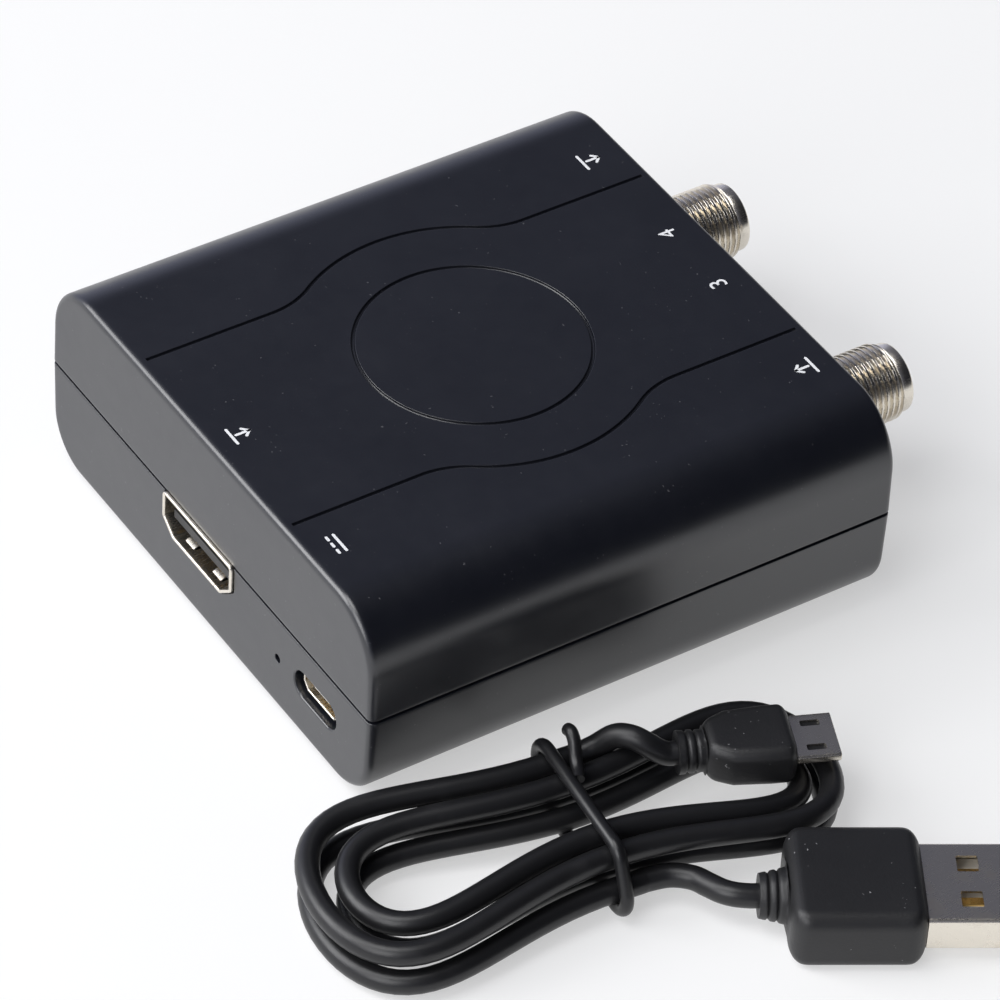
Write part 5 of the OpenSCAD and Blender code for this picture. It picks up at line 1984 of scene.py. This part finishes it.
@dataclass
class Plug(Assembly):
    """A plug at the end of a tail, along Y: a collar, a grip and a folded shell."""

    name: str = "lead_usb"
    root_r: float = 2.5
    collar_r: float = 3.2
    collar: float = 3.0
    collar_rows: int = 25
    groove: float = 0.28
    groove_w: float = 0.055
    groove_shares: Pair = (1 / 3, 2 / 3)
    width: float = 15.4
    thick: float = 7.8
    grip: float = 15.0
    plan_r: float = 2.2
    side_r: float = 1.6
    section_r: float = 0.2
    taper: float = 0.0
    taper_w: float = 0.0
    taper_power: float = 0.8
    # Rows behind each rounded end of the grip, in radii from the end
    flat_rows: Pair = (1.6, 2.4)
    end_steps: int = 8
    corner_steps: int = 7

    def grip_form(self) -> Surface:
        """Collar and grip as one loft of rectangles with round corners.

        In the collar the rectangle is a circle whose radius grows and dips at two grooves. In
        the grip its half-width and half-thickness fall off at both ends by quarter circles, and
        along the root the half-width grows from the taper's start as a power of the distance.

        Returns:
            The closed surface.
        """
        t = np.linspace(0, 1, self.collar_rows)
        dips = sum(np.exp(-(((t - c) / self.groove_w) ** 2)) for c in self.groove_shares)
        collar_r = self.root_r + (self.collar_r - self.root_r) * t - self.groove * dips
        ends = np.concatenate([1 - np.cos(quarter(self.end_steps)), self.flat_rows])
        s = np.unique(np.concatenate([ends * self.plan_r, ends * self.side_r]))
        s = s[s < self.grip / 2]
        s = np.concatenate([s, self.grip - s[::-1]])

        def fall(r: float) -> Array:
            """Quarter-circle fall-off of a half-size within a radius of either end."""
            near = np.minimum(s, self.grip - s)
            return r - np.sqrt(np.maximum(r * r - np.maximum(r - near, 0) ** 2, 0))

        half_w = self.width / 2 - fall(self.plan_r)
        if self.taper:
            grown = np.clip(s / self.taper, 0, 1) ** self.taper_power
            half_w = np.minimum(half_w, self.taper_w / 2 + (self.width - self.taper_w) / 2 * grown)
        half_t = self.thick / 2 - fall(self.side_r)
        w = np.concatenate([collar_r, half_w])[:, None]
        h = np.concatenate([collar_r, half_t])[:, None]
        y = np.concatenate([self.collar * t, self.collar + s])
        most = np.where(y < self.collar, math.inf, self.side_r + self.section_r)[:, None]
        r = np.minimum(np.minimum(w, h), most)
        turn = (np.arange(4)[:, None] * math.pi / 2 + quarter(self.corner_steps)).ravel()
        each = self.corner_steps + 1
        sign_x, sign_z = np.repeat([1, -1, -1, 1], each), np.repeat([1, 1, -1, -1], each)
        x = sign_x * (w - r) + r * np.cos(turn)
        z = sign_z * (h - r) + r * np.sin(turn)
        return Surface().loft(along_y(np.stack([x, z], axis=-1), y))

    def moulding(self) -> bpy.types.Object:
        """Makes the collar and the grip."""
        nodes = [f"{self.name}_overmould"]
        return self.piece(f"{self.name}_grip", self.grip_form(), "grip_vinyl", nodes, sharp=50)

    def folded(
        self, outline: Outline, length: float, sheet: float, cuts: list[Surface]
    ) -> bpy.types.Object:
        """Makes the folded shell in front of the grip.

        Args:
            outline: gives the shell's outline pushed outwards by an offset.
            length: how far the shell stands out of the grip.
            sheet: the sheet's thickness.
            cuts: cutters of its windows and its seam.

        Returns:
            The shell.
        """
        start = self.collar + self.grip
        form = sheet_shell(outline, start + length, start, sheet, closed=False)
        steps = [(Cut.REMOVE, cuts)]
        return self.piece(f"{self.name}_metal", form, "nickel", [f"{self.name}_shell"], steps)


@dataclass
class LargePlug(Plug):
    """The large flat plug: a square shell with locking windows."""

    shell_w: float = 12.0
    shell_t: float = 4.5
    shell_r: float = 0.5
    shell_len: float = 12.0
    sheet: float = 0.3
    window: float = 2.4
    window_r: float = 0.2
    window_xs: Pair = (-2.7, 2.7)
    window_y: float = 5.0
    reach: float = 3.0
    seam_w: float = 0.1
    seam_len: float = 14.0
    seam_r: float = 0.04
    seam_x: float = 0.6
    seam_high: float = -1.9

    def shell(self) -> bpy.types.Object:
        """Makes the shell: a folded sheet with two windows above, two below, and a seam.

        Returns:
            The shell.
        """
        start = self.collar + self.grip
        window = plate(self.window, self.window, self.window_r)
        cuts = [
            prism(window + (x, start + self.window_y), -self.reach, self.reach, upright=True)
            for x in self.window_xs
        ]
        seam = plate(self.seam_w, self.seam_len, self.seam_r) + (self.seam_x, start + self.shell_len / 2)
        cuts.append(prism(seam, -self.reach, self.seam_high, upright=True))
        outline = partial(plate, self.shell_w, self.shell_t, self.shell_r, 6)
        return self.folded(outline, self.shell_len, self.sheet, cuts)


@dataclass
class SmallPlug(Plug):
    """The small plug: a wedge-shaped grip and a shell with a narrow side."""

    name: str = "lead_micro"
    collar_r: float = 2.4
    width: float = 8.6
    thick: float = 5.4
    grip: float = 10.0
    plan_r: float = 1.2
    side_r: float = 1.2
    taper: float = 3.6
    taper_w: float = 4.8
    shell_len: float = 5.0
    sheet: float = 0.25
    slot_w: float = 0.9
    slot_len: float = 2.2
    slot_r: float = 0.2
    slot_xs: Pair = (-1.9, 1.9)
    slot_y: float = 2.4
    slot_span: Pair = (0.1, 2.0)

    def shell(self) -> bpy.types.Object:
        """Makes the shell: a folded sheet with two slots for its springs.

        Returns:
            The shell.
        """
        slot = plate(self.slot_w, self.slot_len, self.slot_r)
        y = self.collar + self.grip + self.slot_y
        cuts = [prism(slot + (x, y), *self.slot_span, upright=True) for x in self.slot_xs]
        return self.folded(SMALL_MOUTH.grown, self.shell_len, self.sheet, cuts)


# Studio


@dataclass
class Studio:
    """The camera at the photograph's angle, a pale floor and soft light; lengths in metres."""

    # The camera's place in millimetres, and its axes
    eye: Triple = (428.343, -303.987, 474.21)
    right: Triple = (0.53968, 0.84047, 0.04849)
    up: Triple = (-0.58352, 0.33193, 0.74117)
    forward: Triple = (-0.60683, 0.42829, -0.66957)
    lens: float = 217.245
    sensor: float = 36.0
    clip: Pair = (0.05, 30.0)
    floor_half: float = 4.0
    floor_colour: Colour = (0.9, 0.9, 0.9)
    floor_cloud: float = 220.0
    floor_lighter: float = 1.02
    floor_rough: float = 0.75
    floor_specular: float = 0.2
    floor_glow: float = 0.5
    # Each lamp's name, place, width and power
    lamps: tuple[tuple[str, Triple, float, float], ...] = (
        ("key", (-0.55, -0.80, 0.62), 0.7, 9.0),
        ("front", (0.35, -0.95, 0.65), 0.7, 6.0),
        ("top", (-0.10, -0.40, 1.10), 0.6, 5.0),
    )
    # Light of the surroundings: the level at which it starts, the width of its rise, its strength
    left_wide: Triple = (-0.35, 0.9, 0.12)
    left_narrow: Triple = (0.66, 0.34, 0.7)
    front: Triple = (-0.1, 0.9, 0.4)
    base: float = 0.02
    far_colour: Colour = (0.72, 0.76, 1.0)
    front_colour: Colour = (0.96, 0.97, 1.0)

    def camera(self) -> None:
        """Makes the camera that the photograph was matched with."""
        lens = bpy.data.cameras.new("camera")
        lens.lens = self.lens
        lens.sensor_width = self.sensor
        lens.sensor_fit = "HORIZONTAL"
        lens.clip_start, lens.clip_end = self.clip
        made = put("camera", lens)
        world = np.eye(4)
        world[:3, :3] = np.array([self.right, self.up, [-f for f in self.forward]]).T
        world[:3, 3] = np.array(self.eye) * MM
        made.matrix_world = Matrix(world.tolist())
        bpy.context.scene.camera = made

    def floor(self) -> None:
        """Makes the floor, and its paper that is plain with the faintest cloud.

        Seen straight, in gloss or through a clear body, the paper glows a little towards white.
        """
        h = self.floor_half
        mesh = bpy.data.meshes.new("floor")
        mesh.from_pydata([(-h, -h, 0), (h, -h, 0), (h, h, 0), (-h, h, 0)], [], [(0, 1, 2, 3)])
        g = Graph(bpy.data.materials.new("floor_paper"))
        pale = shade(self.floor_colour, self.floor_lighter)
        sockets = {
            "Base Color": g.mix(g.noise(self.floor_cloud), self.floor_colour, pale),
            "Roughness": self.floor_rough,
            "Specular IOR Level": self.floor_specular,
        }
        lit = g.principled(sockets)
        ray = g.node("ShaderNodeLightPath")
        seen = [Value(g, ray.outputs[f"Is {kind} Ray"]) for kind in ("Camera", "Glossy", "Transmission")]
        glow = g.node("ShaderNodeEmission", {}, {"Color": (1.0, 1.0, 1.0), "Strength": 1.0}).outputs[0]
        share = (seen[0] + seen[1] + seen[2]) * self.floor_glow
        both = g.node("ShaderNodeMixShader", {}, {"Fac": share, 1: lit, 2: glow}).outputs[0]
        g.node("ShaderNodeOutputMaterial", {}, {0: both})
        dress(mesh, g.owner)
        put("floor", mesh)

    def world(self) -> None:
        """Sets the surroundings: bluish and dark behind the object, a soft grey in front.

        The strength rises towards the left and towards the front.
        """
        made = bpy.data.worlds.new("studio")
        bpy.context.scene.world = made
        g = Graph(made)
        way = g.node("ShaderNodeSeparateXYZ", {}, {0: g.node("ShaderNodeTexCoord").outputs["Generated"]})
        to_left, to_front = (Value(g, way.outputs[axis]) * -1 for axis in "XY")
        sides = ((to_left, self.left_wide), (to_left, self.left_narrow), (to_front, self.front))
        wide, narrow, front = (side.over(level, soft) * share for side, (level, soft, share) in sides)
        colour = g.mix(front, self.far_colour, self.front_colour)
        sockets = {"Color": colour, "Strength": wide + narrow + front + self.base}
        back = g.node("ShaderNodeBackground", {}, sockets)
        g.node("ShaderNodeOutputWorld", {}, {0: back.outputs[0]})

    def light(self) -> None:
        """Hangs the soft lamps, each looking at the object."""
        for name, where, size, power in self.lamps:
            lamp = bpy.data.lights.new(name, "AREA")
            lamp.shape = "SQUARE"
            lamp.size = size
            lamp.energy = power
            made = put(name, lamp)
            made.location = where
            made.rotation_mode = "QUATERNION"
            made.rotation_quaternion = (-Vector(where)).to_track_quat("-Z", "Y")

    def build(self) -> None:
        """Makes all but the camera, and keeps plain colour management."""
        self.floor()
        self.world()
        self.light()
        bpy.context.scene.view_settings.view_transform = "Standard"


# Finish of each CAD node that keeps its own shape
KEPT: dict[str, str] = {
    "circuit_board": "board_laminate",
    "video_socket_insulator": "black_insulator",
    "video_socket_contacts": "gold_contact",
    "power_socket_insulator": "pale_insulator",
    "power_socket_contacts": "gold_contact",
    "status_led": "led_epoxy",
    "rf_out_insulator": "pale_insulator",
    "rf_out_contact": "gold_contact",
    "rf_in_insulator": "pale_insulator",
    "rf_in_contact": "gold_contact",
    "channel_switch_frame": "tinned_steel",
    "channel_switch_base": "chip_epoxy",
    "shield_can": "tinned_steel",
    "video_chip": "chip_epoxy",
    "modulator_chip": "chip_epoxy",
    "control_chip": "chip_epoxy",
    "crystals": "tinned_steel",
    "electrolytic_capacitors": "capacitor_aluminium",
    "power_inductor": "ferrite",
    "regulator": "chip_epoxy",
    "surface_parts": "ceramic_parts",
    "lead_usb_insulator": "pale_insulator",
    "lead_usb_contacts": "gold_contact",
    "lead_micro_insulator": "black_insulator",
    "lead_micro_contacts": "gold_contact",
}


def dress_kept(nodes: dict[str, bpy.types.Object], finishes: Finishes) -> None:
    """Gives each CAD node that keeps its shape its finish.

    Args:
        nodes: the CAD nodes by name.
        finishes: the finishes.
    """
    for name, slot in KEPT.items():
        dress(nodes[name].data, finishes.get(slot))
        LOG.info("%s keeps its shape, in %s", name, slot)


def build_lead(front: Place, finishes: Finishes) -> None:
    """Makes the lead with its tie and both plugs.

    Args:
        front: the place of the housing's front face.
        finishes: the finishes.
    """
    waist = front.inside(HANK_TURN, HANK_AT)
    lead = Lead(finishes, waist)
    cable, line = lead.cable()
    tie = lead.tie()
    ends = []
    for route in (lead.usb_route, lead.power_route):
        step = np.array(route[-1]) - np.array(route[-2])
        ends.append(waist.inside(-math.degrees(math.atan2(step[0], step[1])), route[-1]))
    large, small = LargePlug(finishes, ends[0]), SmallPlug(finishes, ends[1])
    going = [tie, large.moulding(), large.shell(), small.moulding(), small.shell()]
    kept = [name for name in KEPT if name.startswith("lead_")]
    2 * lead.cable_r * MM
    going + kept


def build_unit(front: Place, finishes: Finishes) -> None:
    """Makes the unit's own pieces.

    Args:
        front: the place of the housing's front face.
        finishes: the finishes.
    """
    Housing(finishes, front).build()
    LidMarks(finishes, front).build()
    VideoSocket(finishes, front).build()
    PowerSocket(finishes, front).build()
    for name, x in zip(("rf_out", "rf_in"), AERIAL_XS):
        AerialSocket(finishes, front, name, x).build()
    ChannelSwitch(finishes, front).build()


def main() -> None:
    """Loads the frame and builds every sub-assembly in order."""
    logging.basicConfig(level=logging.INFO, format="%(name)s: %(message)s")
    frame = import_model()
    studio = Studio()
    studio.camera()
    finishes = Finishes({material["slot"] for material in frame["record"]["materials"]})
    front = Place(0.0, (0.0, FRONT_Y, 0.0))
    build_lead(front, finishes)
    build_unit(front, finishes)
    dress_kept(frame["nodes"], finishes)
    studio.build()


if __name__ == "__main__":
    main()
